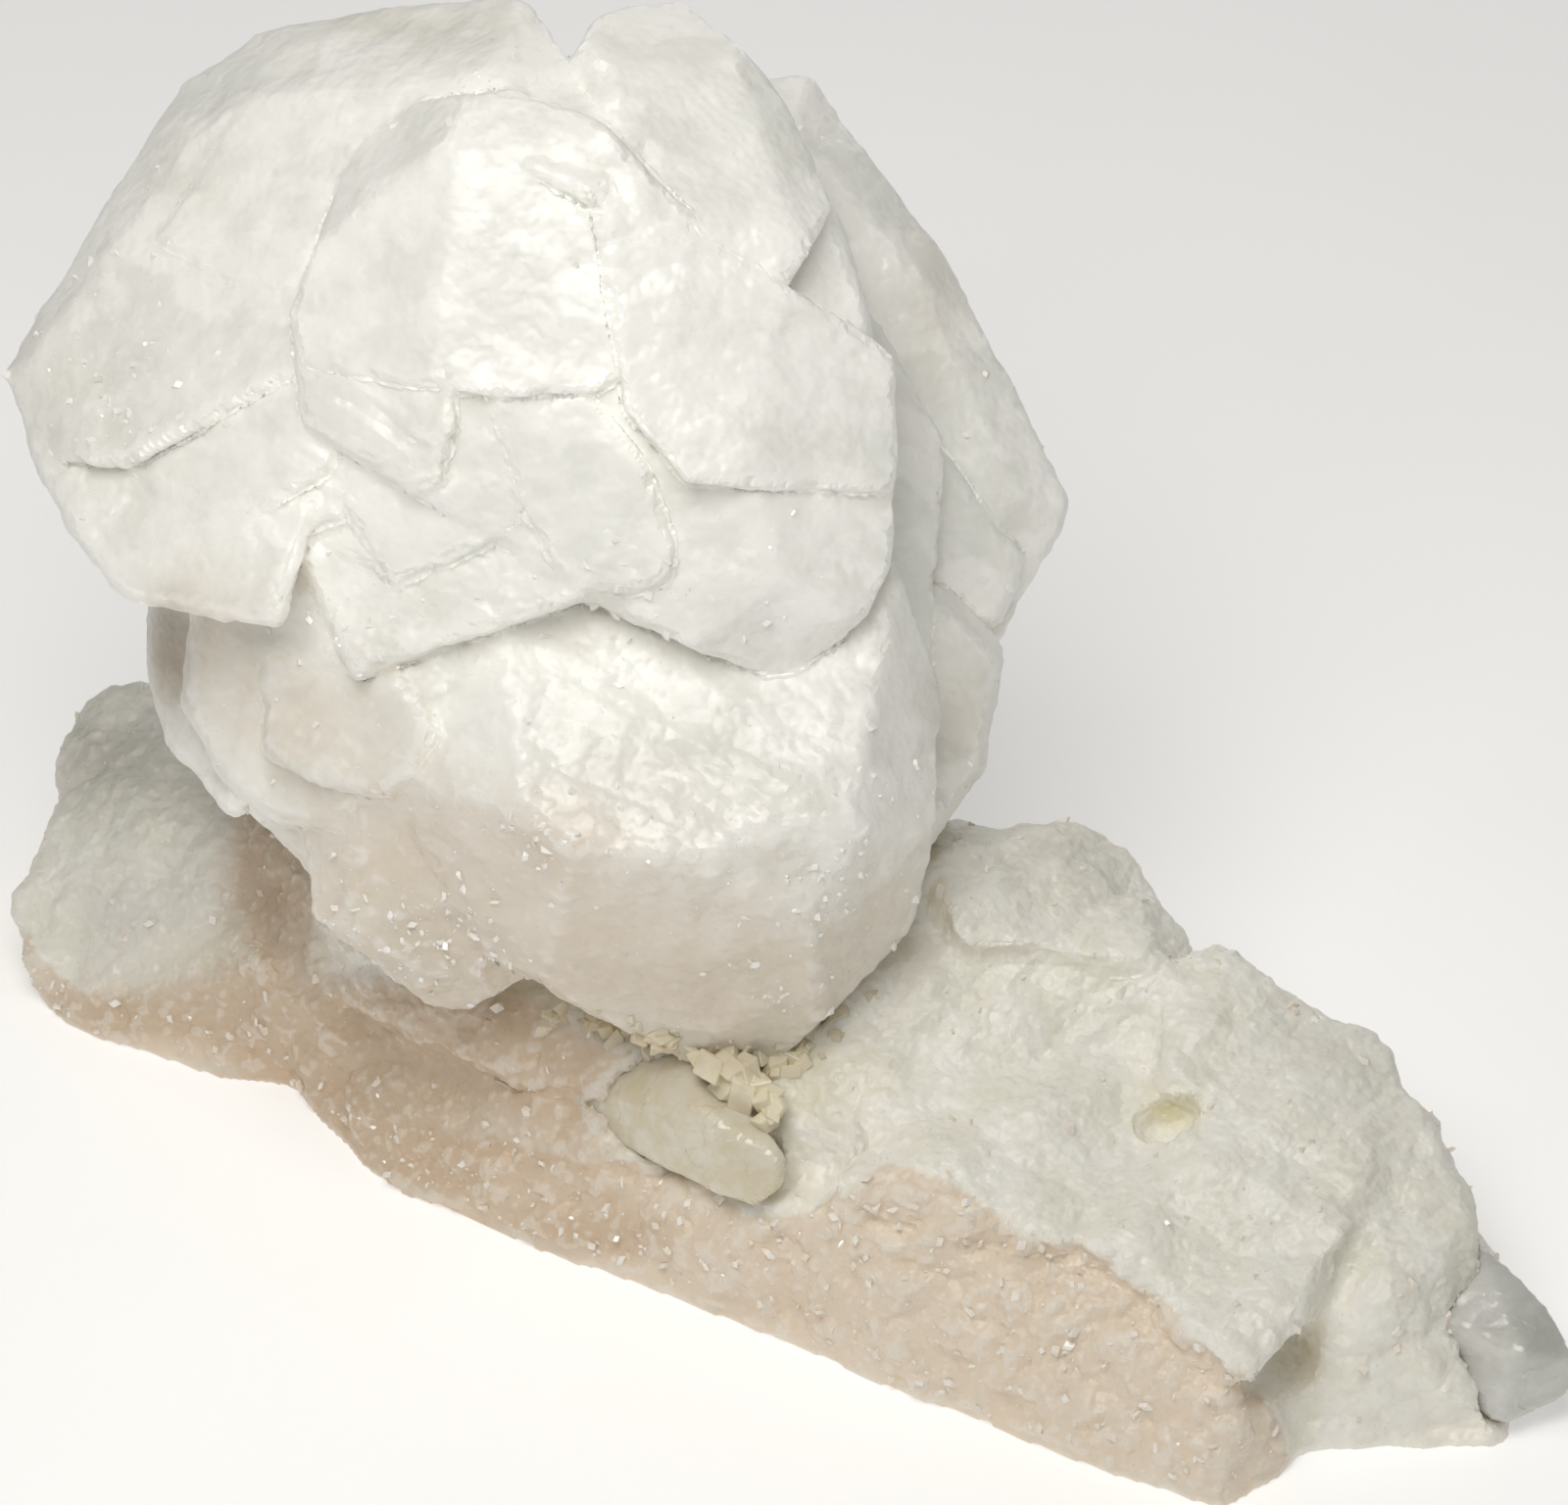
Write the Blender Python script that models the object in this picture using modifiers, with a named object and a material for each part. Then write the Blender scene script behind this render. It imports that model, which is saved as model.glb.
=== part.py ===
"""Calcite cluster: flat crystals grown together into one head, on a broken slab of massive calcite."""

import math

import bmesh
import bpy
from mathutils import Matrix, Vector, noise

MM = 0.001

# The cluster is laid out inside a window that just frames it, seen from its front and a little above.
# Across and up are millimetres from the window's lower left corner, and towards is the distance in
# front of the window. Sight lines meet at the eye, so a nearer corner covers the same spot from nearer by.
WINDOW_WIDTH = 100.0
WINDOW_HEIGHT = 96.0
EYE_DISTANCE = 400.0
VIEW_TURN = math.radians(34.0)
VIEW_RISE = math.radians(38.0)
WINDOW_CENTRE = Vector((2.3, -10.4, 37.5))

TO_EYE = Vector(
    (
        math.sin(VIEW_TURN) * math.cos(VIEW_RISE),
        -math.cos(VIEW_TURN) * math.cos(VIEW_RISE),
        math.sin(VIEW_RISE),
    )
)
TO_RIGHT = Vector((math.cos(VIEW_TURN), math.sin(VIEW_TURN), 0.0))
TO_TOP = TO_EYE.cross(TO_RIGHT)
EYE = WINDOW_CENTRE + EYE_DISTANCE * TO_EYE

# How far the crystals of the head are set back, so that they stand over the middle of the slab.
HEAD_SET_BACK = 4.0

# Between two pieces that touch.
CONTACT_GAP = 0.3

# Facets of a hull that turn by less than this, in degrees, are one flat face.
FLATNESS = 0.4


def on_window(across, up):
    """The point of the window at these distances from its lower left corner, in millimetres."""
    return (
        WINDOW_CENTRE
        + (across - WINDOW_WIDTH / 2) * TO_RIGHT
        + (up - WINDOW_HEIGHT / 2) * TO_TOP
    )


def seen(across, up, towards):
    """The point seen there that lies this far in front of the window."""
    return EYE + (on_window(across, up) - EYE) * (1 - towards / EYE_DISTANCE)


def seen_at_height(across, up, height):
    """The point seen there that lies this far above the surface the cluster stands on."""
    sight = on_window(across, up) - EYE
    return EYE + sight * ((EYE.z - height) / -sight.z)


def clear_scene():
    for old in list(bpy.data.objects):
        bpy.data.objects.remove(old)


def new_object(name, mesh):
    made = bpy.data.objects.new(name, mesh)
    bpy.context.scene.collection.objects.link(made)
    return made


def hull(name, corners, grow=0.0):
    """The convex solid with these corners, in millimetres, with its faces moved out by about grow."""
    reach = grow * math.sqrt(3)
    steps = [Vector(d) * reach for d in ((1, 0, 0), (0, 1, 0), (0, 0, 1))]
    shaped = bmesh.new()
    for corner in corners:
        if grow:
            for step in steps:
                shaped.verts.new((corner + step) * MM)
                shaped.verts.new((corner - step) * MM)
        else:
            shaped.verts.new(corner * MM)
    done = bmesh.ops.convex_hull(shaped, input=shaped.verts)
    loose = [v for v in done["geom_interior"] if isinstance(v, bmesh.types.BMVert)]
    bmesh.ops.delete(shaped, geom=loose, context="VERTS")
    bmesh.ops.dissolve_limit(
        shaped, angle_limit=math.radians(FLATNESS), verts=shaped.verts, edges=shaped.edges
    )
    bmesh.ops.recalc_face_normals(shaped, faces=shaped.faces)
    mesh = bpy.data.meshes.new(name)
    shaped.to_mesh(mesh)
    shaped.free()
    return new_object(name, mesh)


def baked(made):
    """Replaces the object's mesh by what its modifiers make of it."""
    bpy.context.view_layer.update()
    graph = bpy.context.evaluated_depsgraph_get()
    mesh = bpy.data.meshes.new_from_object(made.evaluated_get(graph))
    made.modifiers.clear()
    made.data = mesh
    return made


def combined(made, others, operation):
    """Joins the others to the object, or cuts them from it, all at once, and removes them."""
    group = bpy.data.collections.new("operands")
    for other in others:
        group.objects.link(other)
    joint = made.modifiers.new("joined", "BOOLEAN")
    joint.operation = operation
    joint.operand_type = "COLLECTION"
    joint.collection = group
    baked(made)
    for other in others:
        bpy.data.objects.remove(other)
    bpy.data.collections.remove(group)
    return made


def outer_skin(made):
    """Keeps the largest skin of the object: what was joined may close off a pocket or leave a crumb."""
    shaped = bmesh.new()
    shaped.from_mesh(made.data)
    left = dict.fromkeys(shaped.faces)
    skins = []
    while left:
        skin = [next(iter(left))]
        del left[skin[0]]
        for face in skin:
            for near in {near for edge in face.edges for near in edge.link_faces}:
                if near in left:
                    del left[near]
                    skin.append(near)
        skins.append(skin)
    skins.sort(key=lambda skin: sum(face.calc_area() for face in skin))
    for skin in skins[:-1]:
        bmesh.ops.delete(shaped, geom=skin, context="FACES")
    shaped.to_mesh(made.data)
    shaped.free()
    return made


def leaning(spot, lean):
    """The plane through a spot (across, up, towards) that comes nearer by lean per millimetre."""
    across, up, towards = spot
    return seen(across, up, towards - HEAD_SET_BACK), TO_EYE - lean[0] * TO_RIGHT - lean[1] * TO_TOP


def crossing(corner, plane):
    """How far along the sight through this corner of the window the plane is met."""
    sight = on_window(*corner) - EYE
    return (plane[0] - EYE).dot(plane[1]) / sight.dot(plane[1])


def rings(girdle, shares_and_rises):
    """The girdle's corners drawn in towards their middle by a share and moved towards the eye."""
    middle = sum(girdle, Vector()) / len(girdle)
    corners = []
    for share, rise in shares_and_rises:
        corners += [middle + (corner - middle) * share + rise * TO_EYE for corner in girdle]
    return corners


def plate(outline, spot, lean, bevel=(0.93, 1.5), thick=12.0, back=0.7, grow=0.0, name="plate"):
    """A flat crystal: its outline lies in a leaning plane, and its face is smaller by the bevel's share
    and stands in front of that plane by the bevel's depth. It narrows to its back."""
    face = leaning(spot, lean)
    girdle = [EYE + (on_window(*c) - EYE) * crossing(c, face) for c in outline]
    return hull(name, rings(girdle, (bevel, (1.0, 0.0), (back, -thick))), grow)


def gem(outline, faces, rim=1.0, thick=12.0, back=0.7, grow=0.0, name="gem"):
    """A crystal with several front faces, each the leaning plane through a spot. Within its outline it
    fills everything behind all of them; its sides are as high as the rim and then narrow to the back."""
    planes = [leaning(spot, lean) for spot, lean in faces]
    girdle = []
    front = []
    for corner in outline:
        sight = on_window(*corner) - EYE
        deepest = max(crossing(corner, plane) for plane in planes)
        girdle.append(EYE + sight * (deepest + rim / EYE_DISTANCE))
        front.append(EYE + sight * 0.9)
    block = hull(name, front + rings(girdle, ((1.0, 0.0), (back, -thick))))
    shaped = bmesh.new()
    shaped.from_mesh(block.data)
    bpy.data.objects.remove(block)
    for spot, normal in planes:
        everything = shaped.verts[:] + shaped.edges[:] + shaped.faces[:]
        bmesh.ops.bisect_plane(
            shaped, geom=everything, plane_co=spot * MM, plane_no=normal, clear_outer=True
        )
        bmesh.ops.holes_fill(shaped, edges=[e for e in shaped.edges if e.is_boundary])
    corners = [vertex.co / MM for vertex in shaped.verts]
    shaped.free()
    return hull(name, corners, grow)


def nailhead(centre, axis, radius, height, spin, grow=0.0, name="nailhead"):
    """A flat rhombohedral crystal about its own axis, with a narrow prism zone and its tips cut off."""
    axis = axis.normalized()
    side = axis.orthogonal().normalized()
    across = axis.cross(side)
    corners = []
    for corner in range(6):
        turn = spin + corner * math.pi / 3
        outward = math.cos(turn) * side + math.sin(turn) * across
        upper = 1 if corner % 2 else -1
        rim = centre + outward * radius * (1 + UNEVEN * math.sin(2.3 * corner + 7 * spin))
        edge = outward * TIP_CUT * radius + upper * axis * height * (1 / 2 - TIP_CUT / 3)
        corners.append(rim + axis * height * (upper / 6 + PRISM_ZONE / 2))
        corners.append(rim + axis * height * (upper / 6 - PRISM_ZONE / 2))
        corners.append(centre + edge)
    return hull(name, corners, grow)


GEMS = {
    "left_disc": dict(
        outline=[(0.4, 72.1), (6.0, 81.4), (11.8, 90.5), (16.3, 93.7), (25.0, 95.4), (32.6, 96.0),
                 (34.3, 95.1),
                 (36.5, 90.8), (33.0, 84.0), (23.0, 74.6), (8.2, 66.5), (3.9, 66.8)],
        faces=[((8.2, 66.5, 4.6), (0.56, -0.30)),
               ((7.6, 80.4, -0.4), (1.35, -0.90)),
               ((14.5, 88.6, 0.9), (1.1, -1.30)),
               ((25.0, 91.0, 6.2), (0.60, -1.15)),
               ((32.0, 92.0, 9.8), (-0.50, -0.90)),
               ((3.4, 70.0, 0.3), (1.0, 0.0))],
        rim=0.8, thick=13.0, back=0.5,
    ),
    "brow": dict(
        outline=[(18.7, 76.0), (20.6, 80.6), (22.6, 85.6), (26.4, 89.2), (32.6, 90.0), (38.0, 88.0),
                 (44.0, 82.0),
                 (43.6, 76.0), (41.4, 73.2), (37.8, 71.1), (31.4, 71.0), (26.0, 71.6), (19.4, 73.0)],
        faces=[((34.0, 78.0, 14.9), (0.04, 0.00)),
               ((28.2, 77.0, 14.7), (0.50, -0.05)),
               ((34.0, 86.8, 14.8), (0.08, -0.50)),
               ((24.6, 83.6, 12.6), (1.20, -1.00)),
               ((42.4, 77.0, 15.0), (-0.24, -0.04))],
        rim=0.8, thick=22.0, back=0.8,
    ),
    "knob": dict(
        outline=[(38.0, 84.0), (44.0, 81.0), (49.4, 77.7), (52.8, 75.7), (56.8, 73.4), (57.0, 67.1),
                 (56.9, 64.8),
                 (50.0, 65.3), (43.8, 65.4), (40.0, 70.0)],
        faces=[((42.4, 77.0, 14.9), (-0.24, -0.05)),
               ((50.0, 72.0, 13.1), (-0.50, 0.00))],
        rim=0.8, thick=20.0, back=0.8,
    ),
    "under_brow": dict(
        outline=[(19.0, 74.0), (19.6, 69.4), (26.8, 64.6), (31.0, 62.0), (36.2, 58.5), (40.0, 58.1),
                 (42.8, 58.6),
                 (46.2, 54.2), (50.0, 52.8), (53.0, 55.0), (55.0, 57.2), (56.6, 60.0), (56.9, 66.0),
                 (50.0, 75.0),
                 (36.0, 80.0), (24.0, 80.0)],
        faces=[((34.0, 78.0, 14.1), (0.04, 0.02)),
               ((28.2, 77.0, 13.9), (0.48, -0.05)),
               ((42.4, 77.0, 14.3), (-0.24, -0.02)),
               ((50.0, 72.0, 12.4), (-0.50, 0.06)),
               ((34.0, 70.8, 13.7), (0.02, 0.20)),
               ((36.6, 59.4, 11.6), (0.40, 0.80)),
               ((50.0, 58.0, 11.0), (-0.30, 0.70))],
        rim=0.8, thick=22.0, back=0.8,
    ),
    "top_right": dict(
        outline=[(36.1, 91.0), (38.2, 94.8), (40.3, 95.5), (43.5, 95.8), (46.4, 93.2), (49.6, 89.6),
                 (51.2, 86.6), (53.0, 82.8), (49.4, 77.4), (45.0, 75.0), (38.0, 82.0)],
        faces=[((40.0, 83.4, 14.4), (-0.26, -0.44)),
               ((42.4, 77.0, 14.6), (-0.26, -0.02)),
               ((38.6, 90.4, 11.4), (0.9, -0.20)),
               ((43.0, 91.8, 9.8), (-0.20, -1.10)),
               ((48.6, 87.6, 10.0), (-1.0, -0.70))],
        rim=0.8, thick=16.0, back=0.5,
    ),
    "right_disc": dict(
        outline=[(48.2, 90.7), (51.4, 91.0), (52.7, 89.5), (55.4, 85.0), (59.9, 79.4), (63.6, 73.0),
                 (65.3, 68.5), (67.7, 63.8), (67.4, 62.6), (65.4, 59.6), (63.5, 55.3), (52.0, 50.0),
                 (46.0, 65.0), (45.0, 86.0)],
        faces=[((56.0, 73.0, -5.0), (-0.26, -0.04)),
               ((56.6, 80.4, -5.4), (-1.20, -0.80)),
               ((62.4, 71.0, -7.0), (-0.80, -0.30)),
               ((63.6, 62.0, -7.4), (-0.70, 0.50)),
               ((50.6, 88.0, -4.6), (-0.20, -0.90))],
        rim=0.8, thick=12.0, back=0.5,
    ),
    "body": dict(
        outline=[(16.0, 52.0), (20.0, 58.0), (42.0, 60.0), (57.0, 60.0), (59.8, 52.0), (59.3, 43.0),
                 (57.6, 36.5),
                 (53.1, 32.9), (48.6, 27.6), (43.8, 28.5), (40.0, 30.4), (33.8, 34.6), (28.0, 38.0),
                 (20.0, 42.0)],
        faces=[((41.0, 42.4, 11.4), (-0.08, -0.30)),
               ((29.0, 46.0, 8.4), (0.58, -0.20)),
               ((41.0, 41.4, 11.2), (0.05, 1.36)),
               ((52.0, 44.0, 10.0), (-0.36, 0.50)),
               ((54.0, 40.0, 6.0), (-1.30, 1.20)),
               ((34.0, 40.0, 6.8), (0.95, 1.10)),
               ((57.4, 50.0, 5.0), (-1.40, 0.00))],
        rim=0.8, thick=20.0, back=0.85,
    ),
    "bud": dict(
        outline=[(19.6, 42.9), (20.1, 37.9), (25.0, 34.1), (27.5, 32.2), (30.0, 31.9), (34.1, 34.4),
                 (34.4, 36.0), (32.5, 39.5), (30.0, 44.5), (24.0, 46.0)],
        faces=[((27.0, 39.0, -0.4), (0.15, 0.62)),
               ((22.4, 39.0, -1.6), (1.20, 0.50)),
               ((28.6, 34.2, -3.0), (0.10, 1.90)),
               ((32.0, 37.4, -1.0), (-1.00, 1.10)),
               ((24.0, 36.0, -3.0), (0.90, 1.60))],
        rim=0.8, thick=14.0, back=0.8,
    ),
}

PLATES = {
    "left_cap": dict(
        outline=[(12.0, 83.6), (15.8, 89.0), (22.4, 89.3), (22.4, 84.2), (20.4, 80.2), (18.8, 77.4),
                 (14.0, 78.0),
                 (10.0, 80.6)],
        spot=(20.4, 80.2, 6.9), lean=(0.52, -0.32), bevel=(0.94, 0.7), thick=4.0, back=0.9,
    ),
    "left_shadow": dict(
        outline=[(0.6, 71.9), (2.5, 66.4), (4.6, 62.3), (7.3, 58.6), (8.4, 57.6), (18.0, 56.0),
                 (24.0, 75.0), (10.0, 82.0)],
        spot=(0.9, 71.9, -3.6), lean=(0.42, -0.30), bevel=(0.94, 1.0), thick=12.0, back=0.6,
    ),
    "left_step": dict(
        outline=[(3.9, 66.6), (7.4, 59.4), (9.4, 58.5), (13.0, 60.6), (22.0, 63.0), (24.0, 72.0),
                 (8.0, 72.0)],
        spot=(7.6, 59.4, 0.6), lean=(0.50, 0.02), bevel=(0.95, 0.8), thick=9.0, back=0.8,
    ),
    "left_plate": dict(
        outline=[(8.0, 66.3), (13.5, 61.2), (16.9, 63.6), (21.0, 66.0), (24.0, 73.0), (14.0, 74.0)],
        spot=(13.5, 61.2, 5.2), lean=(0.50, -0.02), bevel=(0.95, 0.8), thick=9.0, back=0.85,
    ),
    "vee_left": dict(
        outline=[(14.6, 62.4), (17.0, 63.7), (20.6, 61.6), (24.0, 60.0), (27.0, 66.0), (22.0, 71.0),
                 (17.0, 70.0)],
        spot=(20.6, 61.6, 6.4), lean=(0.50, -0.02), bevel=(0.94, 0.8), thick=9.0, back=0.9,
    ),
    "mid_face": dict(
        outline=[(31.2, 70.8), (37.6, 70.9), (41.2, 66.0), (43.0, 61.0), (42.6, 59.0), (40.0, 58.2),
                 (36.2, 58.6),
                 (33.6, 63.0)],
        spot=(36.0, 65.0, 12.5), lean=(0.06, 0.17), bevel=(0.95, 0.8), thick=14.0, back=0.95,
    ),
    "vee_upper": dict(
        outline=[(21.9, 63.8), (25.0, 58.6), (33.2, 62.3), (34.0, 67.0), (28.0, 70.0), (22.0, 68.0)],
        spot=(25.0, 58.6, 8.8), lean=(0.30, 0.10), bevel=(0.95, 0.8), thick=12.0, back=0.9,
    ),
    "vee_lower": dict(
        outline=[(18.4, 61.6), (22.8, 53.0), (24.8, 54.2), (33.2, 57.0), (37.6, 58.0), (40.0, 62.0),
                 (30.0, 66.0),
                 (20.0, 65.0)],
        spot=(22.8, 53.0, 6.6), lean=(0.32, 0.04), bevel=(0.95, 0.9), thick=12.0, back=0.9,
    ),
    "top_gap": dict(
        outline=[(45.0, 82.0), (53.0, 82.9), (54.4, 78.0), (55.6, 74.6), (50.0, 72.0)],
        spot=(53.0, 82.9, 6.2), lean=(-0.46, -0.16), bevel=(0.88, 1.0), thick=12.0, back=0.9,
    ),
    "right_step": dict(
        outline=[(57.0, 70.6), (60.2, 66.0), (65.2, 60.2), (63.4, 56.0), (59.6, 58.4), (56.0, 62.0)],
        spot=(60.2, 66.0, -5.4), lean=(-0.45, 0.10), bevel=(0.9, 0.8), thick=4.0, back=0.9,
    ),
    "right_flank": dict(
        outline=[(59.7, 58.5), (63.3, 55.5), (63.9, 54.2), (62.3, 51.6), (62.6, 46.8), (61.6, 45.4),
                 (60.0, 44.2),
                 (59.4, 42.4), (55.0, 38.0), (48.0, 45.0), (52.0, 60.0)],
        spot=(59.5, 52.0, -5.0), lean=(-0.5, 0.10), bevel=(0.86, 2.0), thick=16.0, back=0.6,
    ),
    "notch": dict(
        outline=[(34.6, 91.4), (36.0, 91.9), (37.4, 91.4), (41.0, 87.0), (38.0, 83.0), (32.0, 86.0)],
        spot=(36.0, 90.6, 9.4), lean=(-0.1, -0.9), bevel=(0.9, 0.6), thick=8.0, back=0.9,
    ),
    "left_cheek": dict(
        outline=[(12.6, 60.2), (18.1, 62.0), (23.5, 56.0), (25.0, 48.0), (22.6, 43.2), (17.8, 43.6),
                 (14.4, 46.4),
                 (11.9, 50.9)],
        spot=(12.6, 58.0, -2.0), lean=(0.56, 0.20), bevel=(0.90, 1.4), thick=20.0, back=1.0,
    ),
    "cheek": dict(
        outline=[(17.0, 54.4), (21.3, 55.6), (26.0, 53.5), (28.0, 49.0), (26.4, 46.3), (24.5, 45.3),
                 (20.5, 46.3),
                 (17.0, 47.8)],
        spot=(17.0, 50.0, 1.3), lean=(0.54, 0.05), bevel=(0.90, 0.9), thick=8.0, back=0.9,
    ),
    "left_side": dict(
        outline=[(9.6, 60.0), (14.0, 60.0), (18.0, 50.0), (15.0, 44.0), (10.8, 48.6), (9.6, 53.0)],
        spot=(10.2, 57.0, -12.0), lean=(1.2, 0.0), bevel=(0.9, 1.0), thick=14.0, back=0.9,
    ),
    "left_foot": dict(
        outline=[(12.4, 51.0), (20.0, 50.0), (30.0, 46.0), (32.0, 36.0), (24.6, 35.4), (19.8, 40.6),
                 (14.6, 46.2)],
        spot=(18.8, 43.6, -5.4), lean=(0.55, 0.75), bevel=(0.88, 1.6), thick=16.0, back=0.9,
    ),
    "heart": dict(
        outline=[(13.0, 80.0), (25.0, 90.0), (40.5, 90.0), (53.0, 81.0), (60.0, 68.0), (59.0, 52.0),
                 (55.0, 42.0), (44.0, 36.0), (26.0, 40.0), (15.0, 50.0), (13.0, 66.0)],
        spot=(36.0, 64.0, -2.0), lean=(0.0, 0.0), bevel=(0.62, 9.0), thick=23.0, back=0.6,
    ),
}


# Crystals of the far side: which way they lie from the middle of the head (turn and rise in degrees),
# how far out, how wide, and how they are turned about their own axis.
FAR_CRYSTALS = [
    (122.0, 14.0, 18.5, 15.0, 0.2),
    (80.0, 6.0, 17.0, 12.5, 0.9),
    (166.0, 4.0, 17.5, 12.5, 0.5),
    (112.0, 54.0, 18.5, 12.5, 0.1),
    (66.0, 40.0, 17.0, 11.0, 0.7),
    (165.0, 40.0, 17.5, 12.0, 0.3),
    (128.0, -28.0, 16.5, 13.0, 0.0),
    (76.0, -34.0, 16.0, 11.0, 0.6),
    (180.0, -30.0, 16.5, 11.0, 0.4),
]
FAR_FLATNESS = 0.62
# Each far crystal grew again, a little further out and smaller: its share of the width, and how far.
FAR_GROWTH = [(1.0, 0.0), (0.8, 1.7), (0.5, 2.6)]
# How far the far crystals tilt from facing straight out.
FAR_TILT = 0.3
# How uneven the six sides are, how much of the tips is missing, and the prism zone's share of the height.
UNEVEN = 0.12
TIP_CUT = 0.34
PRISM_ZONE = 0.22
HEAD_MIDDLE = Vector((-21.5, -1.0, 43.0))

# Where the head grew from the slab: corners (across, up, height) in front, and (x, y, z) behind.
ROOT_FRONT = [(22.0, 43.0, 22.0), (26.0, 39.0, 15.0), (33.0, 36.0, 13.0), (42.0, 31.5, 13.0),
              (48.0, 29.4, 13.0),
              (54.0, 35.6, 15.0), (57.0, 42.0, 20.0), (50.0, 46.0, 30.0), (30.0, 46.0, 28.0)]
ROOT_BEHIND = [(-38.0, -2.0, 12.0), (-30.0, 7.0, 12.0), (-14.0, 10.0, 12.0), (0.0, 6.0, 12.0),
               (-34.0, 3.0, 26.0),
               (-20.0, 9.0, 28.0), (-4.0, 5.0, 26.0)]


def lump(front, behind, grow=0.0, name="lump"):
    """A lump of massive calcite: its corners seen from the front, and its corners behind."""
    corners = [seen_at_height(*c) for c in front] + [Vector(c) for c in behind]
    corners += [corner - Vector((0, 0, SUNK)) for corner in corners if corner.z < 0.01]
    return hull(name, corners, grow)


# Growth steps that climb towards the brow, one behind the other.
STRIAE = 3
STRIA_OUTLINE = [(19.0, 73.0), (19.6, 69.0), (26.4, 64.6), (28.2, 65.4), (28.0, 71.0), (25.0, 74.0),
                 (20.0, 76.0)]
STRIA_SHIFT = (0.35, 1.5)
STRIA_RISE = 0.35


def growth_steps(grow):
    made = []
    for step in range(STRIAE):
        outline = [(x + step * STRIA_SHIFT[0], y + step * STRIA_SHIFT[1]) for x, y in STRIA_OUTLINE]
        spot = (28.2, 77.0, 13.9 - (STRIAE - step) * STRIA_RISE)
        made.append(plate(outline, spot, (0.46, -0.02), (0.98, 0.5), 8.0, 0.9, grow, "growth_step"))
    return made


def far_crystals(grow):
    made = []
    for turn, rise, out, radius, spin in FAR_CRYSTALS:
        turn, rise = math.radians(turn), math.radians(rise)
        outward = Vector((math.cos(turn) * math.cos(rise), math.sin(turn) * math.cos(rise), math.sin(rise)))
        axis = outward + Vector((FAR_TILT * math.sin(9 * spin), FAR_TILT * math.cos(5 * spin), 0.0))
        for share, further in FAR_GROWTH:
            centre = HEAD_MIDDLE + outward * out + axis * further
            wide = radius * share
            made.append(nailhead(centre, axis, wide, FAR_FLATNESS * wide, spin, grow, "far_crystal"))
    return made


def build_head(name, grow=0.0):
    """The crystals of the head, joined in one solid."""
    crystals = [gem(grow=grow, name=label, **sizes) for label, sizes in GEMS.items()]
    crystals += [plate(grow=grow, name=label, **sizes) for label, sizes in PLATES.items()]
    crystals += growth_steps(grow)
    crystals += far_crystals(grow)
    crystals.append(lump(ROOT_FRONT, ROOT_BEHIND, grow, "root"))
    head = outer_skin(combined(crystals[0], crystals[1:], "UNION"))
    head.name = name
    return head


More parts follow.
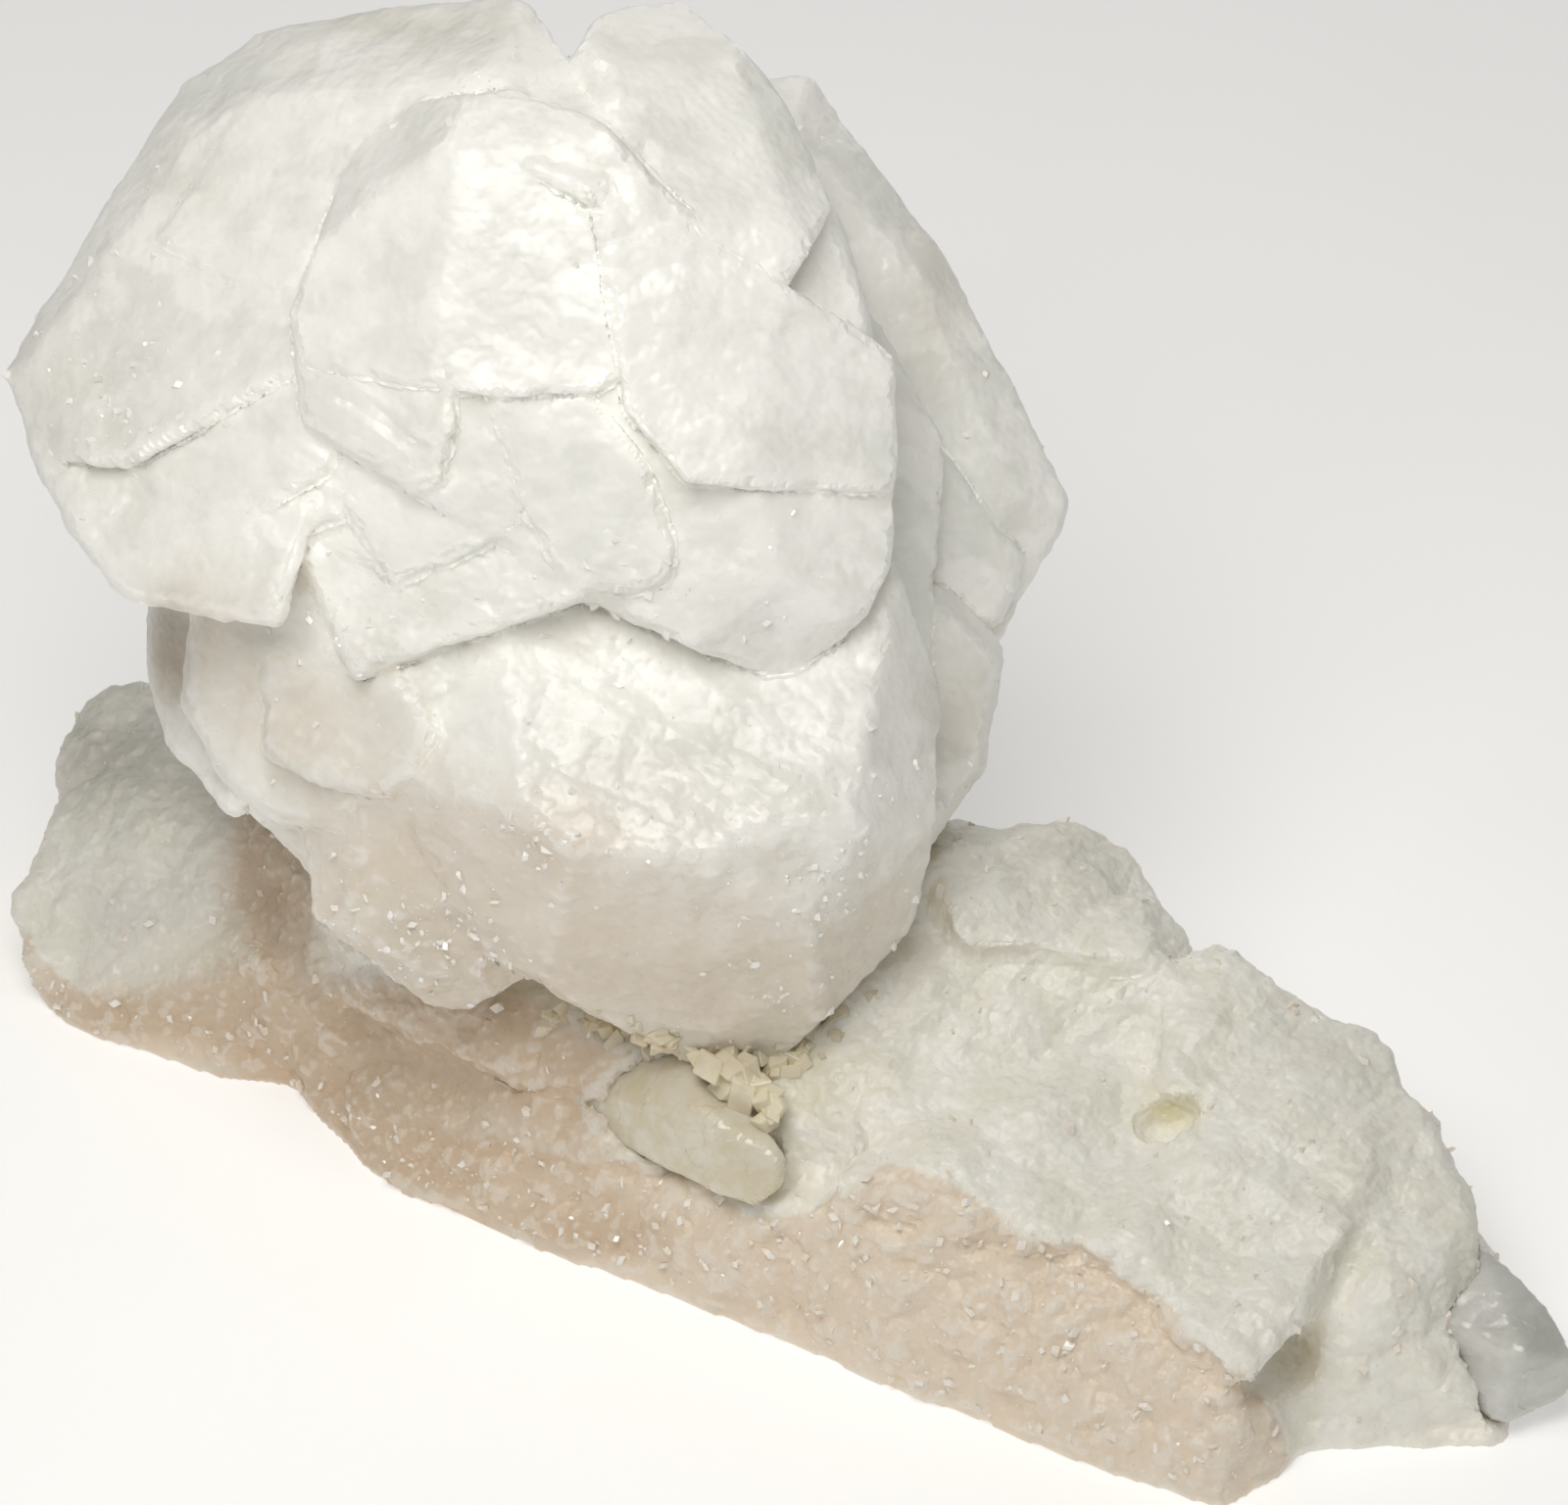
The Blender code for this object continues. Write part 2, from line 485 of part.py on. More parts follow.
LUMPS = {
    "wedge": (
        [(5.4, 51.4, 13.6), (9.4, 51.9, 16.0), (10.3, 53.0, 17.0), (4.6, 48.7, 12.4), (3.4, 46.0, 11.4),
         (4.0, 42.6, 10.6), (5.6, 43.0, 11.2), (7.2, 41.5, 11.4), (9.4, 40.1, 11.2), (1.1, 39.4, 7.6),
         (1.2, 37.1, 5.6), (2.2, 36.0, 5.0), (2.1, 33.7, 2.0), (2.9, 31.9, 0.0), (3.7, 33.5, 3.2),
         (6.0, 29.7, 0.0), (9.8, 28.4, 0.0), (14.2, 27.2, 0.0), (19.0, 26.3, 0.0), (7.8, 32.3, 3.6),
         (12.5, 31.3, 4.0), (16.6, 30.2, 4.0), (14.7, 44.1, 14.6), (15.4, 36.0, 9.4)],
        [(-53.0, -2.0, 0.0), (-52.0, -3.0, 10.0), (-42.0, 6.0, 0.0), (-40.0, 4.0, 12.0)],
    ),
    "valley": (
        [(10.8, 52.4, 17.0), (12.4, 50.0, 16.6), (15.6, 46.0, 14.8), (18.2, 43.8, 15.0),
         (20.2, 40.8, 14.8),
         (20.8, 37.4, 13.8), (24.6, 34.0, 13.6), (27.6, 32.0, 13.6), (30.4, 31.4, 13.8),
         (34.2, 33.6, 15.4),
         (38.4, 31.0, 14.4), (44.0, 28.0, 13.4), (16.4, 39.5, 10.8), (17.2, 34.6, 7.8), (22.6, 31.0, 9.2),
         (30.0, 27.6, 9.8), (38.0, 26.4, 11.0)],
        [(-42.0, 2.0, 4.0), (-38.0, 4.0, 14.0), (-8.0, 8.0, 14.0), (-8.0, 8.0, 4.0)],
    ),
    "chip": (
        [(14.8, 35.6, 9.8), (16.2, 35.2, 10.2), (16.0, 31.8, 6.0), (17.6, 29.6, 4.0), (19.4, 27.4, 2.6),
         (21.8, 27.6, 4.6), (21.6, 29.2, 6.8), (18.8, 32.0, 8.2)],
        [(-36.0, -12.0, 2.0), (-30.0, -12.0, 2.0)],
    ),
    "middle": (
        [(15.6, 35.0, 7.0), (18.0, 30.0, 2.6), (18.9, 25.8, 0.0), (20.6, 23.9, 0.0), (24.4, 20.4, 0.0),
         (24.7, 22.8, 2.4), (29.2, 18.6, 0.0), (29.4, 22.8, 4.4), (32.3, 18.3, 0.0), (35.0, 22.4, 6.6),
         (36.7, 15.0, 0.0), (42.5, 23.0, 9.4), (31.3, 31.6, 10.4), (21.3, 33.0, 8.6), (44.0, 28.4, 13.4)],
        [(-44.0, 8.0, 0.0), (-40.0, 6.0, 12.0), (-20.0, 14.0, 0.0), (-22.0, 12.0, 13.0), (6.0, 13.0, 0.0),
         (2.0, 12.0, 15.0)],
    ),
    "front": (
        [(36.7, 15.6, 0.0), (40.0, 15.2, 0.0), (51.9, 11.4, 0.0), (56.3, 8.8, 0.0), (62.5, 6.1, 0.0),
         (71.9, 1.3, 0.0), (78.1, -0.6, 0.0), (81.7, 1.5, 0.0), (83.5, 3.0, 0.0), (44.0, 21.0, 8.0),
         (53.4, 18.6, 11.0), (57.5, 20.2, 11.6), (62.5, 18.0, 11.0), (66.3, 16.2, 10.6),
         (71.3, 14.4, 10.0),
         (75.4, 11.4, 8.8), (78.4, 7.0, 7.0), (82.0, 6.0, 4.0)],
        [(10.0, 4.0, 0.0), (34.0, 4.0, 0.0), (12.0, 0.0, 12.0), (34.0, -2.0, 9.0)],
    ),
    "lobe": (
        [(59.4, 41.3, 23.4), (62.8, 41.6, 23.4), (65.3, 42.9, 23.4), (69.4, 43.5, 22.0),
         (72.8, 42.0, 21.4),
         (74.0, 39.8, 20.5), (73.6, 36.0, 19.4), (53.1, 32.9, 18.4), (48.8, 27.9, 15.2),
         (47.0, 24.4, 11.6), (56.0, 19.4, 10.0),
         (66.0, 15.4, 8.6), (72.0, 14.0, 8.0)],
        [(-4.0, 7.0, 17.0), (8.0, 12.0, 17.0), (14.0, 14.0, 0.0), (24.0, 11.0, 0.0), (0.0, 4.0, 2.0),
         (25.0, 8.0, 13.0)],
    ),
    "lip": (
        [(52.6, 20.0, 13.4), (55.0, 19.9, 13.4), (55.6, 21.1, 14.0), (57.5, 22.0, 14.6),
         (60.0, 21.3, 14.4),
         (62.5, 19.8, 13.8), (66.3, 17.9, 13.2), (71.3, 16.2, 12.6), (73.8, 17.2, 13.0),
         (75.0, 18.8, 13.6),
         (53.4, 19.4, 11.6), (57.6, 20.9, 12.6), (66.2, 16.8, 11.2), (71.2, 15.1, 10.6)],
        [(10.0, -6.0, 16.4), (22.0, -2.0, 16.0), (30.0, -4.0, 15.0), (12.0, -6.0, 8.0),
         (30.0, -4.0, 8.0)],
    ),
    "ledge": (
        [(60.6, 36.0, 22.4), (66.0, 35.6, 21.6), (73.6, 34.6, 20.4), (73.4, 39.2, 21.0),
         (69.0, 41.0, 22.6),
         (60.0, 39.6, 23.2)],
        [(4.0, 6.0, 14.0), (22.0, 8.0, 12.0)],
    ),
    "right": (
        [(74.6, 34.8, 19.8), (77.4, 36.0, 20.2), (79.0, 35.4, 20.0), (81.6, 33.8, 19.2),
         (84.6, 31.6, 18.2),
         (87.8, 29.7, 17.0), (89.4, 28.4, 15.8), (75.0, 18.6, 13.4), (84.0, 14.0, 12.0),
         (88.0, 22.0, 15.0),
         (79.0, 12.0, 9.0)],
        [(20.0, -4.0, 2.0), (40.0, -8.0, 2.0), (24.0, 13.0, 0.0), (40.0, 10.0, 0.0), (28.0, 11.0, 14.0),
         (39.0, 8.0, 12.0)],
    ),
    "right_plate": (
        [(71.7, 15.4, 11.9), (75.0, 13.0, 11.4), (77.6, 10.4, 10.8), (79.0, 8.4, 10.0), (79.4, 6.6, 8.0),
         (75.2, 12.0, 9.4), (72.0, 14.4, 9.8), (84.0, 13.0, 11.4), (86.0, 18.0, 13.8),
         (78.0, 22.0, 15.0)],
        [(36.0, -6.0, 5.0), (30.0, -6.0, 6.0)],
    ),
    "end": (
        [(87.0, 29.0, 16.0), (89.6, 27.0, 15.6), (91.0, 24.4, 15.0), (92.9, 21.4, 13.6),
         (94.0, 17.9, 12.0),
         (95.0, 15.9, 10.0), (96.4, 8.0, 3.0), (96.0, 3.5, 0.0), (93.8, 3.7, 0.0), (90.0, 4.2, 0.0),
         (86.6, 4.7, 0.0), (84.2, 3.3, 0.0), (83.6, 8.0, 5.0), (88.0, 14.0, 11.0), (86.0, 20.0, 13.4)],
        [(30.0, 4.0, 0.0), (40.0, 10.0, 0.0), (49.0, 6.0, 0.0), (53.0, 1.0, 0.0), (47.0, 4.0, 7.0),
         (40.0, 9.0, 10.0)],
    ),
    "core": (
        [],
        [(-16.0, -20.0, 0.0), (-16.0, 8.0, 0.0), (24.0, -20.0, 0.0), (24.0, 8.0, 0.0), (-12.0, -15.0, 7.0),
         (-12.0, 6.0, 9.0), (20.0, -14.0, 7.0), (20.0, 6.0, 9.0)],
    ),
    "rear": (
        [],
        [(-38.0, 8.0, 0.0), (-24.0, 17.0, 0.0), (-8.0, 19.0, 0.0), (6.0, 15.0, 0.0), (-34.0, 7.0, 15.0),
         (-24.0, 13.0, 19.0), (-10.0, 13.0, 20.0), (1.0, 9.0, 17.0), (-20.0, 0.0, 20.0),
         (-20.0, 0.0, 0.0)],
    ),
    "rear_ledge": (
        [],
        [(-20.0, 19.0, 0.0), (-6.0, 21.5, 0.0), (8.0, 18.0, 0.0), (-16.0, 17.0, 8.0), (-6.0, 18.5, 9.5),
         (6.0, 14.0, 8.0), (-8.0, 8.0, 14.0), (-8.0, 8.0, 0.0)],
    ),
}
# How far the lumps reach below the cut that the cluster rests on.
SUNK = 2.5
SLAB_VOXEL = 0.9
SLAB_TRIANGLES = 7200
# The surface of broken calcite: how wide its hackles are and how deep.
HACKLES = [(9.0, 0.9), (4.0, 0.6)]
# Upward faces are smoother than the broken sides.
TOP_SMOOTHNESS = 0.55

PIT_CENTRE = (74.4, 25.4, 16.2)
PIT_SIZE = (2.3, 1.8, 2.8)

BLADE = [(37.2, 26.4, 9.4), (40.2, 28.2, 12.0), (44.0, 28.2, 13.8), (46.8, 25.6, 13.6),
         (49.7, 22.0, 12.8),
         (49.6, 20.6, 11.6), (48.0, 19.4, 10.2), (46.0, 20.2, 9.8), (43.6, 22.0, 9.8), (41.0, 22.8, 8.8),
         (38.2, 24.2, 7.6), (45.0, 24.8, 14.2), (40.8, 25.6, 11.8)]
BLADE_INWARDS = -5.0 * TO_EYE

END_CRYSTAL = [(94.4, 16.2, 9.4), (95.9, 14.9, 8.8), (98.1, 12.8, 7.6), (99.9, 9.3, 5.2),
               (99.7, 7.3, 2.6),
               (96.8, 6.0, 1.2), (95.6, 5.6, 1.8), (97.0, 9.8, 7.6)]
END_INWARDS = Vector((-5.0, -0.5, 0.2))


def roughened(slab):
    """Gives the slab the uneven, hackly surface of broken calcite."""
    mesh = slab.data
    mesh.update()
    normals = [vertex.normal.copy() for vertex in mesh.vertices]
    for vertex, normal in zip(mesh.vertices, normals):
        place = vertex.co / MM
        height = 0.0
        for wide, deep in HACKLES:
            nearest = noise.voronoi(place / wide)[0]
            height += deep * (min(nearest[1] - nearest[0], 0.6) - 0.3)
        height *= 1 - TOP_SMOOTHNESS * max(normal.z, 0.0)
        vertex.co += normal * height * MM
    mesh.update()


def set_in(name, corners, inwards, grow=0.0):
    """A crystal set into the slab: its seen corners, and the same ones further in."""
    front = [seen_at_height(*c) for c in corners]
    middle = sum(front, Vector()) / len(front)
    behind = [middle + (c - middle) * 0.7 + inwards for c in front]
    return hull(name, front + behind, grow)


def build_blade(name, grow=0.0):
    """The clear bladed crystal on the front of the slab."""
    return set_in(name, BLADE, BLADE_INWARDS, grow)


def build_end_crystal(name, grow=0.0):
    """The small grey crystal at the right end."""
    return set_in(name, END_CRYSTAL, END_INWARDS, grow)


def build_pit():
    """The little hollow in the top of the right lobe."""
    bpy.ops.mesh.primitive_uv_sphere_add(segments=12, ring_count=8, radius=MM)
    pit = bpy.context.object
    pit.name = "pit"
    pit.data.transform(Matrix.Diagonal((*PIT_SIZE, 1.0)))
    pit.data.transform(Matrix.Rotation(VIEW_TURN, 4, "Z"))
    pit.data.transform(Matrix.Translation(seen_at_height(*PIT_CENTRE) * MM))
    return pit


def build_slab(name):
    """The massive calcite the crystals stand on, cut flat where it rests, with room for the others."""
    lumps = [lump(front, behind, name=label) for label, (front, behind) in LUMPS.items()]
    slab = combined(lumps[0], lumps[1:], "UNION")
    slab.name = name
    shrink = slab.modifiers.new("grain", "REMESH")
    shrink.mode = "VOXEL"
    shrink.voxel_size = SLAB_VOXEL * MM
    baked(slab)
    roughened(slab)
    thin = slab.modifiers.new("facets", "DECIMATE")
    thin.ratio = SLAB_TRIANGLES / sum(len(p.vertices) - 2 for p in slab.data.polygons)
    baked(slab)
    below = [Vector((x, y, z)) for x in (-90, 90) for y in (-60, 60) for z in (-20, 0)]
    room = [
        hull("below", below),
        build_pit(),
        build_head("head_room", CONTACT_GAP),
        build_blade("blade_room", CONTACT_GAP),
        build_end_crystal("end_room", CONTACT_GAP),
    ]
    return outer_skin(combined(slab, room, "DIFFERENCE"))


# Colour, roughness and metallic of each piece.
FINISHES = {
    "crystal_head": ((0.87, 0.86, 0.83), 0.35, 0.0),
    "matrix": ((0.80, 0.76, 0.66), 0.60, 0.0),
    "blade_crystal": ((0.84, 0.81, 0.72), 0.20, 0.0),
    "end_crystal": ((0.66, 0.66, 0.63), 0.30, 0.0),
}


def finished(piece):
    colour, rough, metal = FINISHES[piece.name]
    finish = bpy.data.materials.new(piece.name)
    finish.use_nodes = True
    shader = finish.node_tree.nodes["Principled BSDF"]
    shader.inputs["Base Color"].default_value = (*colour, 1.0)
    shader.inputs["Roughness"].default_value = rough
    shader.inputs["Metallic"].default_value = metal
    piece.data.materials.clear()
    piece.data.materials.append(finish)


def stood_at_origin(pieces):
    """Moves the pieces so that the middle of the bottom of their common box is at the origin."""
    corners = [vertex.co for piece in pieces for vertex in piece.data.vertices]
    low = Vector([min(corner[axis] for corner in corners) for axis in range(3)])
    high = Vector([max(corner[axis] for corner in corners) for axis in range(3)])
    shift = Matrix.Translation(-Vector(((low.x + high.x) / 2, (low.y + high.y) / 2, low.z)))
    for piece in pieces:
        piece.data.transform(shift)


def main():
    clear_scene()
    pieces = [
        build_head("crystal_head"),
        build_blade("blade_crystal"),
        build_end_crystal("end_crystal"),
        build_slab("matrix"),
    ]
    stood_at_origin(pieces)
    home = bpy.data.collections.new("calcite_cluster")
    bpy.context.scene.collection.children.link(home)
    for piece in pieces:
        finished(piece)
        home.objects.link(piece)
        bpy.context.scene.collection.objects.unlink(piece)


main()
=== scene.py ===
"""Looks of the calcite cluster: milky crystals grown into one head, on a broken slab of massive calcite."""

import logging
import math
from dataclasses import dataclass
from enum import Enum
from typing import Any, Callable

import bmesh
import bpy
import numpy as np
from bpy.types import Material, Mesh, Node, NodeSocket, NodeTree, Object
from mathutils import Euler, Matrix, Vector
from mathutils.bvhtree import BVHTree


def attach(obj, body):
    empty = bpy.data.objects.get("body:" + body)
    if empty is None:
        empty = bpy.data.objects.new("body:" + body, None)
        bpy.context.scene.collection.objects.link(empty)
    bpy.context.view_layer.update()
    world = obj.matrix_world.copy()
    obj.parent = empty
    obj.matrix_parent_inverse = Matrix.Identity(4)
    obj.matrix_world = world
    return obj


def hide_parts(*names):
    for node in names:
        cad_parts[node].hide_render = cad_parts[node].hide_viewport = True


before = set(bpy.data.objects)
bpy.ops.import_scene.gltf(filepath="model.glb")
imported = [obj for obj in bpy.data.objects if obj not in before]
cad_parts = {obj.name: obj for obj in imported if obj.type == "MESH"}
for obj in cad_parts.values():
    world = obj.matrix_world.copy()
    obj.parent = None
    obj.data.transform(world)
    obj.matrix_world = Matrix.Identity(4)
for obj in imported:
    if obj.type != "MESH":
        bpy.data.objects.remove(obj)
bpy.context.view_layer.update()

LOG = logging.getLogger("calcite")
MM = 0.001
Triple = tuple[float, float, float]
Colour = Triple
Spot = tuple[float, float]

# The photograph's view: a window of this size, in millimetres, that just frames the cluster.
WINDOW_WIDTH = 100.0
WINDOW_HEIGHT = 96.0
PICTURE_WIDTH = 1600
PICTURE_HEIGHT = 1536
PIXELS_PER_MM = PICTURE_WIDTH / WINDOW_WIDTH
EYE_DISTANCE = 400.0
VIEW_TURN = math.radians(34.0)
VIEW_RISE = math.radians(38.0)
WINDOW_CENTRE = Vector((3.5487, -8.8592, 37.5))
TO_EYE = Vector(
    (
        math.sin(VIEW_TURN) * math.cos(VIEW_RISE),
        -math.cos(VIEW_TURN) * math.cos(VIEW_RISE),
        math.sin(VIEW_RISE),
    )
)
TO_RIGHT = Vector((math.cos(VIEW_TURN), math.sin(VIEW_TURN), 0.0))
TO_TOP = TO_EYE.cross(TO_RIGHT)
EYE = WINDOW_CENTRE + EYE_DISTANCE * TO_EYE
SENSOR_WIDTH = 36.0

# How fast a soft zone of the picture fades, and how far the floor lies under the slab, in millimetres.
PATCH_FALL = 1.4
FLOOR_GAP = 0.05

# How the block patterns are turned, in degrees, and stretched along each axis.
LATTICE_TURN: Triple = (38.0, 24.0, 15.0)
LATTICE_STRETCH: Triple = (1.0, 0.8, 1.3)

# The middle of a vector whose parts go from 0 to 1.
MIDDLE: Triple = (0.5, 0.5, 0.5)

# The direction in which the cleavage traces of the head run, and the two directions across them.
TRACE = (0.84 * TO_RIGHT - 0.54 * TO_TOP).normalized()
TRACE_AXES = (TRACE, TRACE.cross(TO_EYE), TO_EYE)


class Metric(Enum):
    """How a cell pattern measures distance, which gives its cells their shape."""

    ROUND = "EUCLIDEAN"
    BLOCKY = "CHEBYCHEV"


class Mask(Enum):
    """The values that a piece's mesh carries at each vertex, from 0 to 1."""

    BROKEN = "broken"
    # Warm tone, partly real beige and brown and partly painted shade on shaded, downward and recessed parts.
    WARM = "warm"
    # How shut in a vertex is; the finishes paint shade and stain in nooks from it.
    NOOK = "nook"
    THIN = "thin"
    SPARKLE = "sparkle"
    LOOSE = "loose"
    # Painted shade: zones made darker where the crystal lies in shade or looks through to shade.
    GREY = "grey"
    YELLOW = "yellow"
    # How far a vertex stands out; the finishes paint highlights on edges from it.
    EDGE = "edge"
    WISP = "wisp"
    STRIA = "stria"
    STREAK = "streak"
    FACET = "facet"


class Form(Enum):
    """What a layer of relief is made of."""

    PLATES = "plates"
    STUDS = "studs"
    RIDGES = "ridges"


# ---------------------------------------------------------------- node trees


def _math(operation: str, flipped: bool = False) -> Callable[["Value", Any], "Value"]:
    """Makes an operator of Value.

    Args:
        operation: What its Math node does.
        flipped: Whether the other value comes first, as in a reflected form.

    Returns:
        The operator.
    """

    def operate(this: "Value", other: Any) -> "Value":
        """Adds the Math node."""
        values = (other, this) if flipped else (this, other)
        return this.tree.node("ShaderNodeMath", {"operation": operation}, dict(enumerate(values)))

    return operate


class Value:
    """A socket that takes part in Python expressions, each of which adds its Math node."""

    __add__, __radd__ = _math("ADD"), _math("ADD", flipped=True)
    __sub__, __rsub__ = _math("SUBTRACT"), _math("SUBTRACT", flipped=True)
    __mul__, __rmul__ = _math("MULTIPLY"), _math("MULTIPLY", flipped=True)
    __truediv__, __rtruediv__ = _math("DIVIDE"), _math("DIVIDE", flipped=True)

    def __init__(self, tree: "Tree", socket: NodeSocket) -> None:
        """Wraps one output socket of a tree."""
        self.tree = tree
        self.socket = socket

    def ramp(self, low: float, high: float) -> "Value":
        """Rises smoothly from 0 at low to 1 at high."""
        sockets = {"Value": self, "From Min": low, "From Max": high}
        return self.tree.node("ShaderNodeMapRange", {"interpolation_type": "SMOOTHSTEP"}, sockets)


class Tree:
    """Adds nodes to a material's or a modifier's node tree."""

    def __init__(self, tree: NodeTree) -> None:
        """Starts on an empty node tree."""
        self.tree = tree

    def node(
        self,
        kind: str,
        settings: dict[str, Any] | None = None,
        sockets: dict[Any, Any] | None = None,
        out: Any = 0,
    ) -> Value:
        """Adds a node.

        Args:
            kind: The node's type.
            settings: Its properties, set first.
            sockets: Values or links of its inputs, by name or number.
            out: The output that is returned, by name or number.

        Returns:
            That output.
        """
        made = self.tree.nodes.new(kind)
        for key, setting in (settings or {}).items():
            setattr(made, key, setting)
        for key, given in (sockets or {}).items():
            self._feed(self._input(made, key), given)
        return Value(self, self._output(made, out))

    @staticmethod
    def _input(made: Node, key: Any) -> NodeSocket:
        """An enabled input by name, or any input by number."""
        if isinstance(key, int):
            return made.inputs[key]
        return next(s for s in made.inputs if s.name == key and s.enabled)

    @staticmethod
    def _output(made: Node, key: Any) -> NodeSocket | None:
        """An enabled output by name, or the enabled output of that number."""
        shown = [s for s in made.outputs if s.enabled]
        if isinstance(key, int):
            return shown[key] if shown else None
        return next(s for s in shown if s.name == key)

    def _feed(self, socket: NodeSocket, given: Any) -> None:
        """Links a value to an input, or sets a constant on it."""
        if isinstance(given, Value):
            self.tree.links.new(given.socket, socket)
        elif isinstance(given, tuple) and len(given) == 3 and socket.type == "RGBA":
            socket.default_value = (*given, 1.0)
        else:
            socket.default_value = given

    def noise(self, at: Value, scale: float, detail: float = 3.0, roughness: float = 0.55) -> Value:
        """Cloudy noise from 0 to 1, with features of about 1 / scale metres."""
        sockets = {"Vector": at, "Scale": scale, "Detail": detail, "Roughness": roughness}
        return self.node("ShaderNodeTexNoise", {"noise_dimensions": "3D"}, sockets)

    def _voronoi(self, at: Value, scale: Any, metric: Metric, out: str) -> Value:
        """One output of a pattern of cells that are about 1 / scale metres across."""
        settings = {"voronoi_dimensions": "3D", "feature": "F1", "distance": metric.value}
        return self.node("ShaderNodeTexVoronoi", settings, {"Vector": at, "Scale": scale}, out)

    def cells(self, at: Value, scale: Any, metric: Metric) -> tuple[Value, Value]:
        """A random vector from 0 to 1 for each cell of a pattern, and the cell's centre."""
        colour = self._voronoi(at, scale, metric, "Color")
        return colour, Value(self, colour.socket.node.outputs["Position"])

    def vector(self, operation: str, first: Any, second: Any, out: str = "Vector") -> Value:
        """A Vector Math node on two vectors."""
        return self.node("ShaderNodeVectorMath", {"operation": operation}, {0: first, 1: second}, out)

    def scaled(self, vector: Value, factor: Any) -> Value:
        """A vector times a number."""
        return self.node("ShaderNodeVectorMath", {"operation": "SCALE"}, {0: vector, "Scale": factor})

    def turned(self, at: Value, angles: Triple, stretch: Triple) -> Value:
        """Coordinates turned by these angles, in degrees, and then scaled along each axis."""
        sockets = {"Vector": at, "Rotation": tuple(math.radians(angle) for angle in angles)}
        spun = self.node("ShaderNodeVectorRotate", {"rotation_type": "EULER_XYZ"}, sockets)
        return self.vector("MULTIPLY", spun, stretch)

    def axes(self, at: Value, first: Vector, second: Vector, third: Vector, scales: Triple) -> Value:
        """Coordinates along three directions, each with its own scale."""
        parts = [
            self.vector("DOT_PRODUCT", at, tuple(way * scale), "Value")
            for way, scale in zip((first, second, third), scales)
        ]
        return self.node("ShaderNodeCombineXYZ", {}, dict(enumerate(parts)))

    def warped(self, at: Value, scale: float, amount: float) -> Value:
        """Coordinates pushed about by cloudy noise, by up to about the amount in metres."""
        sockets = {"Vector": at, "Scale": scale, "Detail": 0.0}
        push = self.node("ShaderNodeTexNoise", {"noise_dimensions": "3D"}, sockets, "Color")
        return self.vector("ADD", at, self.scaled(self.vector("SUBTRACT", push, MIDDLE), amount))

    def studs(self, at: Value, scale: Any, metric: Metric) -> Value:
        """The height of blunt points, one in each cell, from about -0.5 to 0.5."""
        return 0.5 - self._voronoi(at, scale, metric, "Distance")

    def plates(
        self, at: Value, scale: Any, lean: float, step: float, metric: Metric = Metric.BLOCKY
    ) -> Value:
        """The height of flat facets that lie a step apart, each with a lean of its own.

        Args:
            at: Where the pattern is read.
            scale: Facets to the metre.
            lean: How much the facets tilt.
            step: How much their levels differ.
            metric: What outline the facets have.

        Returns:
            The height, in facet widths times lean and step.
        """
        chance, centre = self.cells(at, scale, metric)
        slope = self.vector("SUBTRACT", chance, MIDDLE)
        away = self.scaled(self.vector("SUBTRACT", at, centre), scale)
        tilt = self.vector("DOT_PRODUCT", away, slope, "Value")
        level = self.vector("DOT_PRODUCT", chance, (1.0, 0.6, -0.9), "Value")
        return tilt * lean + level * step


class Fields(Tree):
    """The node tree of one Geometry Nodes modifier."""

    def __init__(self, name: str) -> None:
        """Starts a tree that takes a geometry and gives one."""
        super().__init__(bpy.data.node_groups.new(name, "GeometryNodeTree"))
        face = self.tree.interface
        face.new_socket("Geometry", in_out="INPUT", socket_type="NodeSocketGeometry")
        face.new_socket("Geometry", in_out="OUTPUT", socket_type="NodeSocketGeometry")
        self.shape = self.node("NodeGroupInput")
        self.exit = self.tree.nodes.new("NodeGroupOutput")
        self.at = self.node("GeometryNodeInputPosition")
        self.normal = self.node("GeometryNodeInputNormal")

    def mask(self, mask: Mask) -> Value:
        """A value that the mesh carries."""
        settings, sockets = {"data_type": "FLOAT"}, {"Name": mask.value}
        return self.node("GeometryNodeInputNamedAttribute", settings, sockets, "Attribute")

    def ray(self, target: Value, start: Value, way: Value, reach: float) -> Value:
        """How far a ray goes until it meets the target, or its whole reach."""
        sockets = {"Target Geometry": target, "Source Position": start}
        sockets |= {"Ray Direction": way, "Ray Length": reach}
        return self.node("GeometryNodeRaycast", {}, sockets, "Hit Distance")

    def chance(self, kind: str, low: Any, high: Any, seed: int) -> Value:
        """A random value for each point."""
        sockets = {"Min": low, "Max": high, "Seed": seed}
        return self.node("FunctionNodeRandomValue", {"data_type": kind}, sockets)

    def stored(self, shape: Value, mask: Mask, values: Value) -> Value:
        """The geometry with a value kept at each vertex."""
        settings = {"data_type": "FLOAT", "domain": "POINT"}
        sockets = {"Geometry": shape, "Name": mask.value, "Value": values}
        return self.node("GeometryNodeStoreNamedAttribute", settings, sockets)

    def apply(self, piece: Object, made: Value) -> Mesh:
        """Runs the tree on a piece.

        Args:
            piece: The object whose mesh goes in.
            made: The geometry that comes out.

        Returns:
            That geometry as a plain mesh. The modifier is gone afterwards.
        """
        self._feed(self.exit.inputs[0], made)
        modifier = piece.modifiers.new(self.tree.name, "NODES")
        modifier.node_group = self.tree
        mesh = modified_mesh(piece)
        piece.modifiers.remove(modifier)
        return mesh


